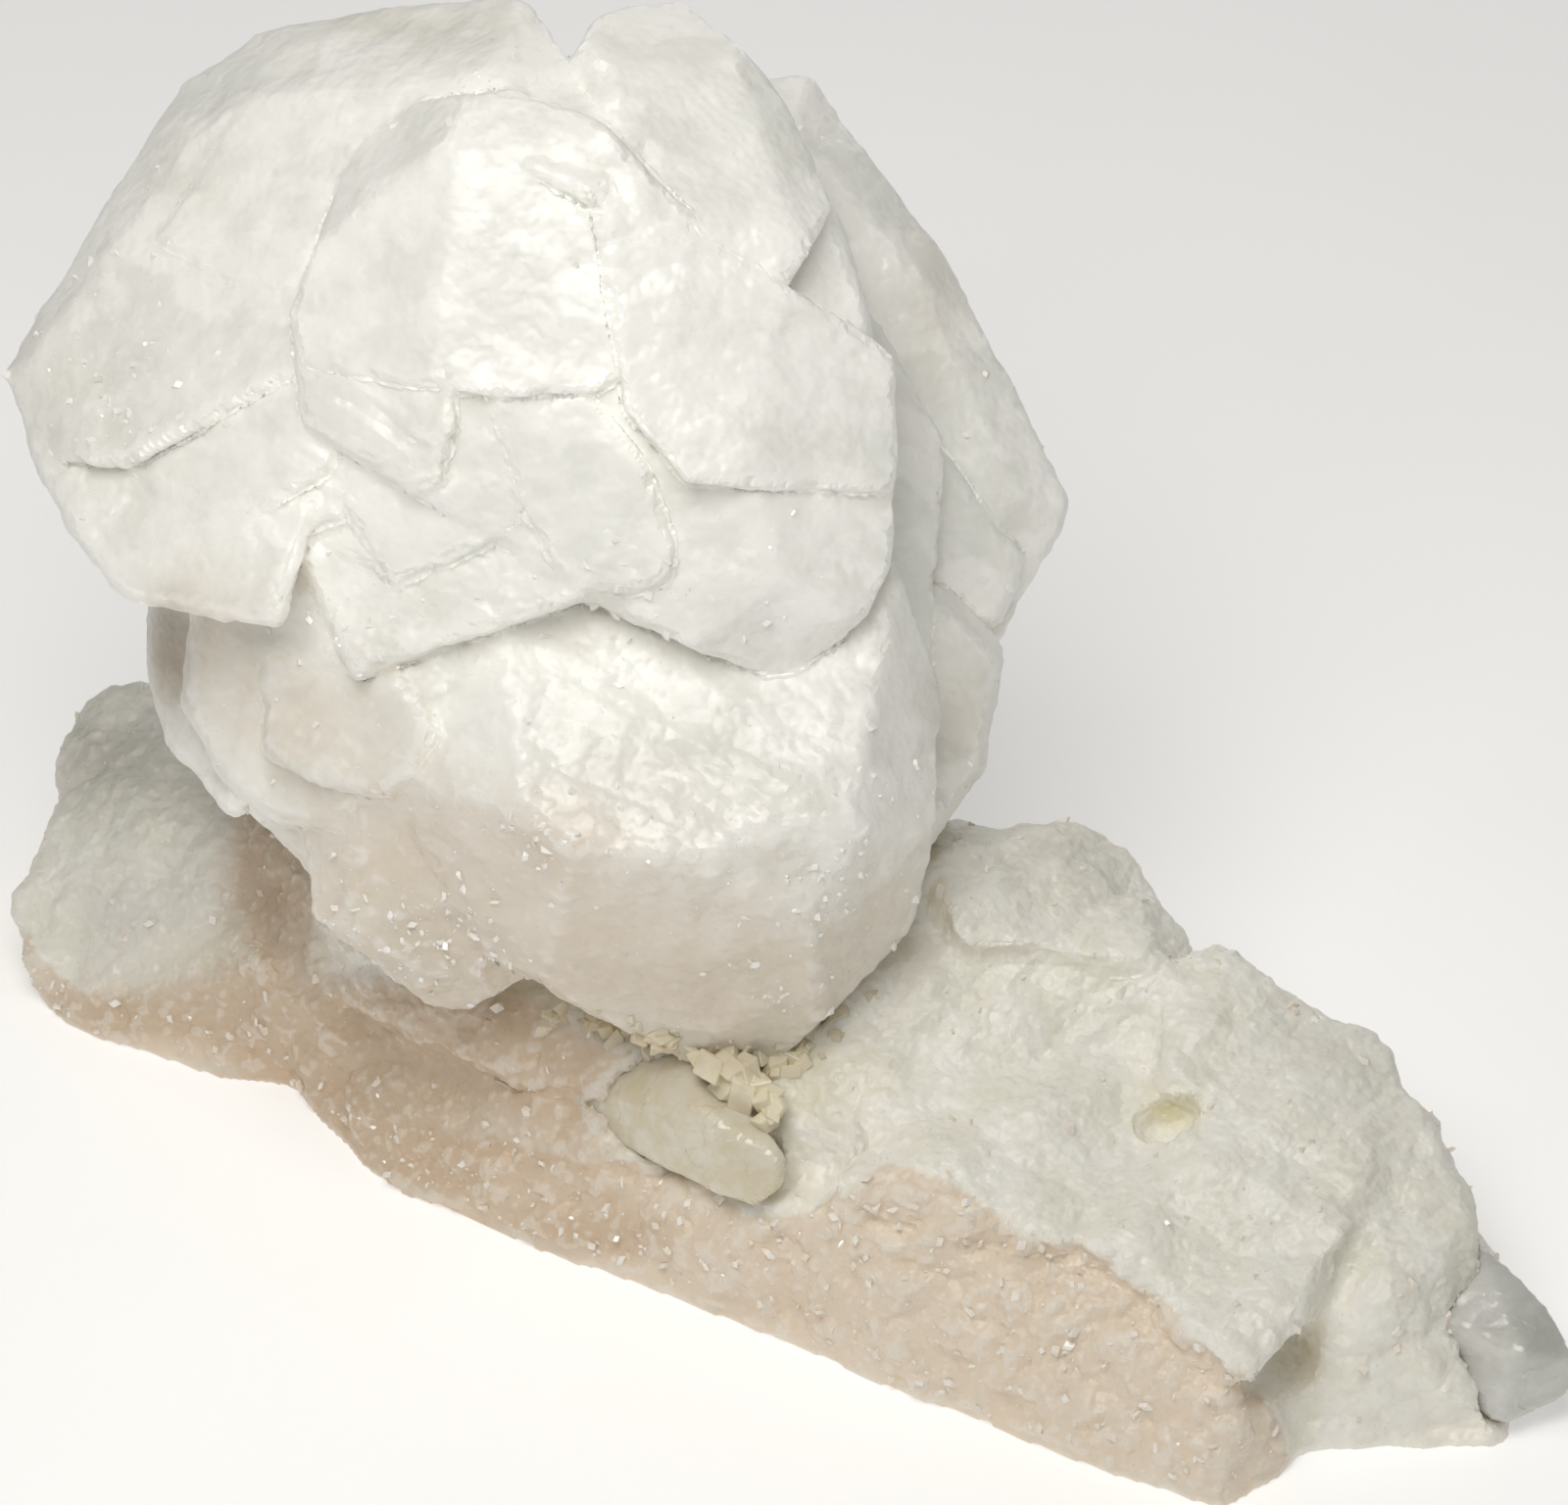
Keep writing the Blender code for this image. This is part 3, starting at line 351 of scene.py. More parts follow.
class Paint(Tree):
    """The node tree of one material, around a Principled shader."""

    def __init__(self, name: str) -> None:
        """Starts a material whose patterns follow the object's own coordinates."""
        self.material = bpy.data.materials.new(name)
        self.material.use_nodes = True
        super().__init__(self.material.node_tree)
        self.shader = self.tree.nodes["Principled BSDF"]
        self.shader.subsurface_method = "BURLEY"  # much quicker than a random walk, and alike at this scale
        self.at = self.node("ShaderNodeTexCoord", {}, {}, "Object")

    def mask(self, mask: Mask) -> Value:
        """A value that the mesh carries."""
        return self.node("ShaderNodeAttribute", {"attribute_name": mask.value}, {}, "Fac")

    def blend(self, amount: Any, first: Any, second: Any) -> Value:
        """The first colour where the amount is 0, and the second where it is 1."""
        sockets = {0: amount, 6: first, 7: second}
        return self.node("ShaderNodeMix", {"data_type": "RGBA"}, sockets, "Result")

    def lay(self, colour: Any, coat: "Coat", level: Value, share: Any = 1.0) -> Value:
        """Lays a coat over a colour.

        Args:
            colour: What is under it.
            coat: The coat.
            level: The value that the coat follows.
            share: How much of its strength shows.

        Returns:
            The colour with its coat.
        """
        return self.blend(level.ramp(coat.low, coat.high) * coat.strength * share, colour, coat.colour)

    def set(self, **sockets: Any) -> None:
        """Sets or feeds inputs of the shader, whose names are written with _ for a space."""
        for key, given in sockets.items():
            self._feed(self._input(self.shader, key.replace("_", " ")), given)

    def scatter(self, weight: float, radius: Triple, scale: float) -> None:
        """Lets light in under the surface, by a scale in millimetres for red, green and blue."""
        self.set(Subsurface_Weight=weight, Subsurface_Radius=radius, Subsurface_Scale=scale * MM)

    def bump(self, height: Value, strength: float) -> None:
        """Bends the surface's normal by a height in metres."""
        sockets = {"Height": height, "Distance": 1.0, "Strength": strength}
        self.set(Normal=self.node("ShaderNodeBump", {}, sockets))


# ---------------------------------------------------------------- fine surfaces


def window_places(points: np.ndarray) -> np.ndarray:
    """Where points are seen in the photograph.

    Args:
        points: Places in metres, one a row.

    Returns:
        Pixels across and down, one row for each point.
    """
    eye = np.array(EYE)
    rays = points / MM - eye
    reach = EYE_DISTANCE / -(rays @ np.array(TO_EYE))
    on_window = rays * reach[:, None] + eye - np.array(WINDOW_CENTRE)
    across = on_window @ np.array(TO_RIGHT) + WINDOW_WIDTH / 2
    up = on_window @ np.array(TO_TOP) + WINDOW_HEIGHT / 2
    return np.stack([across * PIXELS_PER_MM, PICTURE_HEIGHT - up * PIXELS_PER_MM], axis=1)


def smooth(values: np.ndarray, low: float, high: float) -> np.ndarray:
    """Rises smoothly from 0 at low to 1 at high."""
    t = np.clip((values - low) / (high - low), 0.0, 1.0)
    return t * t * (3 - 2 * t)


def below_line(places: np.ndarray, line: tuple[Spot, ...], softness: float) -> np.ndarray:
    """How far places lie below a line across the picture.

    Args:
        places: Pixels across and down.
        line: The line's corners from left to right, in pixels.
        softness: The width over which the value rises, in pixels.

    Returns:
        0 above the line and 1 below it.
    """
    corners = np.array(line)
    level = np.interp(places[:, 0], corners[:, 0], corners[:, 1])
    return smooth(places[:, 1] - level, -softness / 2, softness / 2)


def drift(points: np.ndarray) -> np.ndarray:
    """A slow change from 0 to 1 over a few centimetres, for the sides that the photograph doesn't show."""
    x, y, z = (points / MM).T
    return 0.5 + 0.25 * np.sin(x / 6.3 + 1.3 * np.sin(z / 5.1)) + 0.25 * np.sin(y / 4.7 + z / 6.1 + 0.8)


@dataclass(frozen=True)
class Patch:
    """A soft round zone seen in the photograph, in pixels."""

    across: float
    down: float
    wide: float
    tall: float
    amount: float = 1.0

    def at(self, places: np.ndarray) -> np.ndarray:
        """The zone's value at places in the picture."""
        off = ((places[:, 0] - self.across) / self.wide) ** 2 + ((places[:, 1] - self.down) / self.tall) ** 2
        return self.amount * np.exp(-off * PATCH_FALL)


class FineSurface:
    """A copy of a CAD node in fine, even triangles that carries values at its vertices."""

    def __init__(self, name: str, node: str, voxel: float) -> None:
        """Makes the fine copy.

        Args:
            name: The new piece's name.
            node: The CAD node.
            voxel: How wide its triangles are, in millimetres.
        """
        shaped = bmesh.new()
        shaped.from_mesh(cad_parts[node].data)
        bmesh.ops.remove_doubles(shaped, verts=shaped.verts, dist=1e-7)
        self.piece = piece_of(name, shaped)
        grid = self.piece.modifiers.new("grid", "REMESH")
        grid.mode = "VOXEL"
        grid.voxel_size = voxel * MM
        bake_modifiers(self.piece)
        mesh = self.piece.data
        self.places = self._read(mesh.vertices, "co")
        self.normals = self._read(mesh.vertex_normals, "vector")
        self.seen = window_places(self.places)
        self.front = smooth(self.normals @ np.array(TO_EYE), -0.25, 0.15)

    @staticmethod
    def _read(source: Any, key: str) -> np.ndarray:
        """Reads one vector for each vertex."""
        flat = np.empty(len(source) * 3, np.float32)
        source.foreach_get(key, flat)
        return flat.reshape(-1, 3).astype(float)

    def height(self) -> np.ndarray:
        """Height above the floor, in millimetres."""
        return self.places[:, 2] / MM

    def zone(self, patches: tuple[Patch, ...]) -> np.ndarray:
        """The sum of soft zones, where the surface faces the photograph's eye."""
        return sum(patch.at(self.seen) for patch in patches) * self.front

    def carry(self, mask: Mask, values: Any) -> None:
        """Stores a value from 0 to 1 at each vertex."""
        kept = self.piece.data.attributes.new(mask.value, "FLOAT", "POINT")
        level = np.broadcast_to(np.clip(values, 0.0, 1.0), len(self.places)).astype(np.float32)
        kept.data.foreach_set("value", np.ascontiguousarray(level))


def modified_mesh(piece: Object) -> Mesh:
    """What a piece's modifiers make of its mesh, as a new mesh."""
    bpy.context.view_layer.update()
    graph = bpy.context.evaluated_depsgraph_get()
    return bpy.data.meshes.new_from_object(piece.evaluated_get(graph))


def bake_modifiers(piece: Object) -> None:
    """Replaces a piece's mesh by what its modifiers make of it."""
    old, name = piece.data, piece.data.name
    mesh = modified_mesh(piece)
    piece.modifiers.clear()
    piece.data = mesh
    bpy.data.meshes.remove(old)
    mesh.name = name


def solid_tree(node: str) -> BVHTree:
    """A CAD node's faces, ready for rays."""
    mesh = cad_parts[node].data
    return BVHTree.FromPolygons([v.co for v in mesh.vertices], [p.vertices for p in mesh.polygons])


def surroundings() -> Object:
    """The two large CAD nodes as one object, for the rays that find nooks."""
    shaped = bmesh.new()
    for node in ("crystal_head", "matrix"):
        shaped.from_mesh(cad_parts[node].data)
    return piece_of("surroundings", shaped)


@dataclass(frozen=True)
class Layer:
    """One layer of relief.

    Sizes are in millimetres. Sound and broken say how much of it shows on sound and on broken ground,
    and the warp bends its borders, in parts of its size.
    """

    size: float
    lean: float
    sound: float
    broken: float
    form: Form = Form.STUDS
    metric: Metric = Metric.BLOCKY
    angles: Triple = LATTICE_TURN
    warp: float = 0.25
    step: float = 0.0
    ridge_scales: Triple = (0.12, 1.0, 0.5)

    def height(self, fields: Fields, broken: Value) -> Value:
        """The layer's height at a vertex, in metres.

        Args:
            fields: The tree that the layer is built in.
            broken: How broken the surface is there.

        Returns:
            The height.
        """
        reach = self.size * MM
        if self.form is Form.RIDGES:
            trace = fields.axes(fields.at, *TRACE_AXES, tuple(scale / reach for scale in self.ridge_scales))
            ridges = fields.noise(trace, 1.0, 1.0, 0.4) - 0.5
            return ridges * (self.lean * MM) * fields.mask(Mask.STRIA)
        lattice = fields.turned(fields.at, self.angles, LATTICE_STRETCH)
        lattice = fields.warped(lattice, 0.7 / reach, self.warp * reach)
        if self.form is Form.PLATES:
            facets = fields.plates(lattice, 1.0 / reach, self.lean * MM, self.step * MM, self.metric)
        else:
            facets = fields.studs(lattice, 1.0 / reach, self.metric) * (self.lean * MM)
        return facets * (broken * (self.broken - self.sound) + self.sound)


@dataclass(frozen=True)
class Relief:
    """Low relief that a piece carries: facets and steps in layers, and roughness.

    Sizes are in millimetres, scales are to the metre, and a warp is its scale and its push in metres.
    Edges that bulge by edge_bulge are chipped, and hollows as deep are filled.
    """

    layers: tuple[Layer, ...]
    swell_size: float
    swell_height: float
    rough_size: float
    rough_height: float
    growth: float
    edge_blur: int = 5
    edge_bulge: float = 0.16
    chip_size: float = 1.6
    chip_depth: float = 0.5
    fill_depth: float = 0.55
    wisp_scale: float = 240.0
    wisp_warp: Spot = (140.0, 0.006)
    streak_scales: Triple = (190.0, 1500.0, 700.0)
    streak_warp: Spot = (90.0, 0.002)
    tone_scales: Spot = (110.0, 310.0)
    tone_warp: Spot = (120.0, 0.004)
    crease: float = 16.0
    most_faces: int = 190_000
    nook_reach: float = 14.0
    nook_start: float = 0.4
    thin_reach: float = 9.0
    thin_start: float = 0.1
    rays: int = 16
    ray_seed: int = 7
    ray_spread: float = 0.96

    def raise_on(self, piece: Object, around: Object) -> None:
        """Finds a piece's nooks and thin places, lifts the relief from its surface and thins its faces.

        Args:
            piece: The fine piece.
            around: What can shut in a nook.
        """
        fields = Fields("relief")
        solid = self._probe(fields, around)
        at, broken = fields.at, fields.mask(Mask.BROKEN)
        swell = fields.noise(at, 1.0 / (self.swell_size * MM), 1.0) - 0.5
        rough = fields.noise(at, 1.0 / (self.rough_size * MM), 3.0, 0.6) - 0.5
        height = swell * (self.swell_height * MM) + rough * (self.rough_height * MM) * (broken + 0.1)
        for layer in self.layers:
            height = height + layer.height(fields, broken)
        bulge = self._bulge(fields)
        chips = fields.noise(at, 1.0 / (self.chip_size * MM), 1.0).ramp(0.42, 0.62)
        height = height - chips * bulge.ramp(0.15, 1.0) * (self.chip_depth * MM)
        height = height + (bulge * -1.0).ramp(0.1, 1.0) * (self.fill_depth * MM)
        offset = fields.scaled(fields.normal, (height + self.growth * MM) * fields.mask(Mask.LOOSE))
        shape = fields.node("GeometryNodeSetPosition", {}, {"Geometry": solid, "Offset": offset})
        for mask, values in self._patterns(fields, bulge).items():
            shape = fields.stored(shape, mask, values)
        piece.data = fields.apply(piece, fields.node("GeometryNodeRealizeInstances", {}, {"Geometry": shape}))
        self._settle(piece)

    def _bulge(self, fields: Fields) -> Value:
        """How far each vertex stands out of its surroundings: 1 on an edge, -1 in a groove."""
        sockets = {"Value": fields.at, "Iterations": self.edge_blur}
        levelled = fields.node("GeometryNodeBlurAttribute", {"data_type": "FLOAT_VECTOR"}, sockets)
        out = fields.vector("SUBTRACT", fields.at, levelled)
        return fields.vector("DOT_PRODUCT", out, fields.normal, "Value") / (self.edge_bulge * MM)

    def _patterns(self, fields: Fields, bulge: Value) -> dict[Mask, Value]:
        """The patterns that the finishes read, which cost less at the vertices than in a shader."""
        trace = fields.axes(fields.warped(fields.at, *self.streak_warp), *TRACE_AXES, self.streak_scales)
        return {
            # Painted highlights on edges follow this.
            Mask.EDGE: bulge + 0.5,
            Mask.WISP: fields.noise(fields.warped(fields.at, *self.wisp_warp), self.wisp_scale, 5.0, 0.65),
            Mask.STREAK: fields.noise(trace, 1.0, 2.0, 0.6),
            Mask.FACET: self._tones(fields),
        }

    def _tones(self, fields: Fields) -> Value:
        """A random tone for each of the large and the small blocks that a pattern splits the piece into."""
        lattice = fields.turned(fields.at, LATTICE_TURN, LATTICE_STRETCH)
        lattice = fields.warped(lattice, *self.tone_warp)
        large, small = (fields.cells(lattice, scale, Metric.BLOCKY)[0] for scale in self.tone_scales)
        tone = fields.vector("DOT_PRODUCT", large, (0.6, 0.0, 0.0), "Value")
        return tone + fields.vector("DOT_PRODUCT", small, (0.0, 0.4, 0.0), "Value")

    def _probe(self, fields: Fields, around: Object) -> Value:
        """Stores at each vertex how shut in it is and how thin the piece is there."""
        at, normal = fields.at, fields.normal
        walls = fields.node("GeometryNodeObjectInfo", {}, {"Object": around}, "Geometry")
        rng = np.random.default_rng(self.ray_seed)
        spread = rng.normal(size=(self.rays, 3))
        spread /= np.linalg.norm(spread, axis=1)[:, None]
        start = fields.vector("ADD", at, fields.scaled(normal, self.nook_start * MM))
        far: Any = 0.0
        for way in spread:
            ray = fields.vector("ADD", normal, tuple(float(part) * self.ray_spread for part in way))
            far = fields.ray(walls, start, ray, self.nook_reach * MM) + far
        nook = 1.0 - far * (1.0 / (self.rays * self.nook_reach * MM))
        inside = fields.vector("SUBTRACT", at, fields.scaled(normal, self.thin_start * MM))
        deep = fields.ray(fields.shape, inside, fields.scaled(normal, -1.0), self.thin_reach * MM)
        thin = 1.0 - deep * (1.0 / (self.thin_reach * MM))
        return fields.stored(fields.stored(fields.shape, Mask.NOOK, nook), Mask.THIN, thin)

    def _settle(self, piece: Object) -> None:
        """Thins the faces down to their limit, keeps the rest face level and sets which edges stay sharp."""
        triangles = sum(len(p.vertices) - 2 for p in piece.data.polygons)
        if triangles > self.most_faces:
            thinner = piece.modifiers.new("thinner", "DECIMATE")
            thinner.ratio = self.most_faces / triangles
            bake_modifiers(piece)
        mesh = piece.data
        places = np.empty(len(mesh.vertices) * 3, np.float32)
        mesh.vertices.foreach_get("co", places)
        places[2::3] = np.maximum(places[2::3], 0.0)
        mesh.vertices.foreach_set("co", places)
        mesh.shade_smooth()
        mesh.set_sharp_from_angle(angle=math.radians(self.crease))


def new_piece(name: str, data: Any) -> Object:
    """Puts a mesh, a light or a camera in the scene as an object at the origin."""
    piece = bpy.data.objects.new(name, data)
    bpy.context.scene.collection.objects.link(piece)
    return piece


def piece_of(name: str, shaped: bmesh.types.BMesh) -> Object:
    """Puts a finished bmesh in the scene as an object, and frees it."""
    mesh = bpy.data.meshes.new(name)
    shaped.to_mesh(mesh)
    shaped.free()
    return new_piece(name, mesh)


def dress(piece: Object, material: Material) -> None:
    """Gives a finished piece its one material and its body, and logs its face count."""
    piece.data.materials.clear()
    piece.data.materials.append(material)
    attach(piece, "root")
    LOG.info("%s: %d faces", piece.name, len(piece.data.polygons))


# ---------------------------------------------------------------- finishes


@dataclass(frozen=True)
class Coat:
    """A tone that is laid over others: where it starts, where it is full, and its strength there."""

    colour: Colour
    low: float
    high: float
    strength: float = 1.0


@dataclass(frozen=True)
class MilkyFinish:
    """White crystal clouded all through, beige where thick and shaded, with painted shade and edge
    highlights, cleavage traces.
    """

    white: Colour = (0.965, 0.96, 0.92)
    cloud: Coat = Coat((0.85, 0.855, 0.81), 0.39, 0.68)
    # Beige, partly the crystal's own tone and partly painted shade on the shaded belly, bud and recesses.
    beige: Coat = Coat((0.79, 0.69, 0.57), -0.05, 1.1, 0.95)
    # Painted see-through shade: darker where the crystal is thin.
    thin_shade: Coat = Coat((0.68, 0.675, 0.63), 0.4, 0.95)
    # Painted shade and stain: darker beige in nooks.
    crevice: Coat = Coat((0.78, 0.70, 0.57), 0.6, 1.0, 0.35)
    # Painted highlight on edges, with the crystal's own white streaks.
    veil_and_edge_highlight: Coat = Coat((0.985, 0.985, 0.97), 0.54, 0.78, 0.35)
    # Painted shade: the dark beige laid on shaded zones of the head.
    grey: Colour = (0.50, 0.435, 0.34)
    grain_scale: float = 900.0
    chip_scale: float = 750.0

    def material(self) -> Material:
        """Builds the material."""
        paint = Paint("milky_crystal")
        wisps, fine = paint.mask(Mask.WISP), paint.noise(paint.at, self.grain_scale, 1.0, 0.6)
        streak, facet = paint.mask(Mask.STREAK), paint.mask(Mask.FACET)
        mixed = wisps * 0.6 + fine * 0.15 + streak * 0.25
        colour = paint.lay(self.white, self.cloud, mixed * 0.6 + facet * 0.4)
        # Warm tone and painted shade, from the zones, mottled.
        warm = paint.mask(Mask.WARM) * 0.8 + (mixed - 0.5) * 0.9 + (facet - 0.5) * 0.25
        colour = paint.lay(colour, self.beige, warm)
        # Painted see-through shade where the piece is thin.
        colour = paint.lay(colour, self.thin_shade, paint.mask(Mask.THIN), wisps * 0.5 + 0.2)
        # Painted shade and stain in nooks.
        colour = paint.lay(colour, self.crevice, paint.mask(Mask.NOOK) + (wisps - 0.5) * 0.2)
        # Painted shade, laid over the listed shaded zones.
        colour = paint.blend(paint.mask(Mask.GREY) * (wisps * 0.6 + 0.6), colour, self.grey)
        # Painted highlight on edges, with white streaks.
        colour = paint.lay(colour, self.veil_and_edge_highlight, streak * 0.5 + paint.mask(Mask.EDGE) * 0.5)
        paint.set(Base_Color=colour, Roughness=fine * 0.36 + facet * 0.16 + 0.12, IOR=1.58)
        paint.scatter(0.35, (1.0, 0.88, 0.74), 3.0)
        lattice = paint.turned(paint.at, LATTICE_TURN, LATTICE_STRETCH)
        chips = paint.plates(lattice, self.chip_scale, 0.00014, 0.0)
        paint.bump(chips * (paint.mask(Mask.BROKEN) + 0.35) + fine * 0.00025, 0.8)
        return paint.material


@dataclass(frozen=True)
class MassiveFinish:
    """Cream massive calcite: dull, finely sparkling on top, pinkish and hackly where broken, with painted
    shade and edge highlights.
    """

    cream: Colour = (0.855, 0.835, 0.74)
    pale: Coat = Coat((0.90, 0.885, 0.83), 0.35, 0.65)
    green: Coat = Coat((0.79, 0.78, 0.68), 0.5, 0.66, 0.5)
    pink: Colour = (0.79, 0.67, 0.535)
    # Brown, partly the slab's own tone and partly painted shade in its shaded valley and hollows.
    brown: Coat = Coat((0.62, 0.475, 0.335), 0.22, 1.0, 0.9)
    # Painted see-through shade: darker where the slab is thin.
    thin_shade: Coat = Coat((0.66, 0.64, 0.57), 0.6, 1.0, 0.5)
    # Painted shade and stain: darker yellow-brown in nooks.
    crevice: Coat = Coat((0.66, 0.56, 0.36), 0.5, 0.95, 0.6)
    # Painted shade: the dull colour laid on shaded zones of the slab.
    grey: Colour = (0.56, 0.54, 0.48)
    yellow: Colour = (0.76, 0.69, 0.42)
    # Painted highlight: paler on edges, with pale streaks.
    edge: Coat = Coat((0.90, 0.885, 0.83), 0.56, 0.8, 0.3)
    grain_scale: float = 1100.0
    sugar_scale: float = 1400.0

    def material(self) -> Material:
        """Builds the material."""
        paint = Paint("massive_calcite")
        wisps, fine = paint.mask(Mask.WISP), paint.noise(paint.at, self.grain_scale, 1.0, 0.65)
        mottle = wisps * 0.45 + fine * 0.35 + paint.mask(Mask.FACET) * 0.2
        uneven = mottle - 0.5
        broken = (paint.mask(Mask.BROKEN) + uneven * 0.9).ramp(0.36, 0.72)
        colour = paint.lay(self.cream, self.pale, wisps)
        colour = paint.lay(colour, self.green, 1.0 - mottle)
        colour = paint.blend(broken * (1.3 - mottle * 0.8), colour, self.pink)
        # Warm tone and painted shade, from the zones, mottled.
        colour = paint.lay(colour, self.brown, paint.mask(Mask.WARM) + broken * 0.1 + uneven * 0.7)
        # Painted see-through shade where the piece is thin.
        colour = paint.lay(colour, self.thin_shade, paint.mask(Mask.THIN))
        # Painted shade and stain in nooks.
        colour = paint.lay(colour, self.crevice, paint.mask(Mask.NOOK) + uneven * 0.25)
        # Painted shade, laid over the listed shaded zones.
        colour = paint.blend(paint.mask(Mask.GREY) * (mottle * 0.5 + 0.6), colour, self.grey)
        colour = paint.blend(paint.mask(Mask.YELLOW) * (mottle * 0.7 + 0.5), colour, self.yellow)
        # Painted highlight on edges, with pale streaks.
        colour = paint.lay(colour, self.edge, paint.mask(Mask.EDGE) * 0.65 + paint.mask(Mask.STREAK) * 0.35)
        paint.set(Base_Color=colour, Roughness=fine * 0.4 + 0.25, IOR=1.56)
        paint.scatter(0.3, (1.0, 0.84, 0.66), 2.2)
        sugar = paint.plates(paint.at, self.sugar_scale, 0.00016, 0.00002, Metric.ROUND)
        paint.bump(sugar + fine * 0.0003, 0.8)
        return paint.material


@dataclass(frozen=True)
class GlassyFinish:
    """A small clearer crystal, glassy with cloudy streaks inside."""

    name: str
    clear: Colour
    cloudy: Colour
    transmission: float
    streak_scale: float = 700.0
    cloud_scale: float = 240.0
    facet_scale: float = 900.0

    def material(self) -> Material:
        """Builds the material."""
        paint = Paint(self.name)
        drawn = paint.turned(paint.at, (15.0, 35.0, 25.0), (1.0, 0.25, 1.0))
        streaks = paint.noise(drawn, self.streak_scale, 3.0, 0.6)
        clouds = paint.noise(paint.at, self.cloud_scale, 3.0)
        colour = paint.blend((streaks * 0.6 + clouds * 0.5).ramp(0.42, 0.66), self.clear, self.cloudy)
        paint.set(Base_Color=colour, Roughness=clouds * 0.2 + 0.12, IOR=1.6)
        paint.set(Transmission_Weight=self.transmission)
        paint.scatter(0.3, (1.0, 0.9, 0.75), 1.5)
        paint.bump(paint.plates(paint.at, self.facet_scale, 0.00008, 0.00002) + clouds * 0.0002, 0.8)
        return paint.material


@dataclass(frozen=True)
class StainedFinish:
    """Small cloudy crystals, stained yellow and brown."""

    yellow: Colour = (0.77, 0.72, 0.57)
    brown: Colour = (0.68, 0.60, 0.45)
    mottle_scale: float = 300.0

    def material(self) -> Material:
        """Builds the material."""
        paint = Paint("yellow_crust")
        mottle = paint.noise(paint.at, self.mottle_scale, 3.0, 0.6)
        colour = paint.blend(mottle.ramp(0.4, 0.62), self.yellow, self.brown)
        paint.set(Base_Color=colour, Roughness=mottle * 0.3 + 0.2)
        paint.scatter(0.3, (1.0, 0.8, 0.4), 1.2)
        paint.bump(mottle * 0.0004, 0.6)
        return paint.material


@dataclass(frozen=True)
class GrainFinish:
    """Tiny clear to white crystals that glint."""

    name: str
    tint: Colour
    cloudy: Colour
    cloud_scale: float = 900.0

    def material(self) -> Material:
        """Builds the material."""
        paint = Paint(self.name)
        clouds = paint.noise(paint.at, self.cloud_scale, 1.0)
        colour = paint.blend(clouds.ramp(0.35, 0.65), self.tint, self.cloudy)
        paint.set(Base_Color=colour, Roughness=clouds * 0.16 + 0.05, IOR=1.6)
        return paint.material


# ---------------------------------------------------------------- pieces


@dataclass
class Cover:
    """A fine mesh with relief that shows one CAD node, made on a grid of voxels of so many millimetres."""

    name: str
    node: str
    voxel: float
    relief: Relief

    def build(self, around: Object) -> Object:
        """Makes the fine mesh.

        Args:
            around: What can shut in its nooks.

        Returns:
            The new piece.
        """
        surface = FineSurface(self.name, self.node, self.voxel)
        for mask, values in self.masks(surface).items():
            surface.carry(mask, values)
        self.relief.raise_on(surface.piece, around)
        return surface.piece

    def masks(self, surface: FineSurface) -> dict[Mask, Any]:
        """The values that the mesh carries."""
        raise NotImplementedError

    def dress(self, piece: Object, finish: Any) -> None:
        """Gives the piece its finish and puts it in the node's place."""
        dress(piece, finish.material())
        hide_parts(self.node)


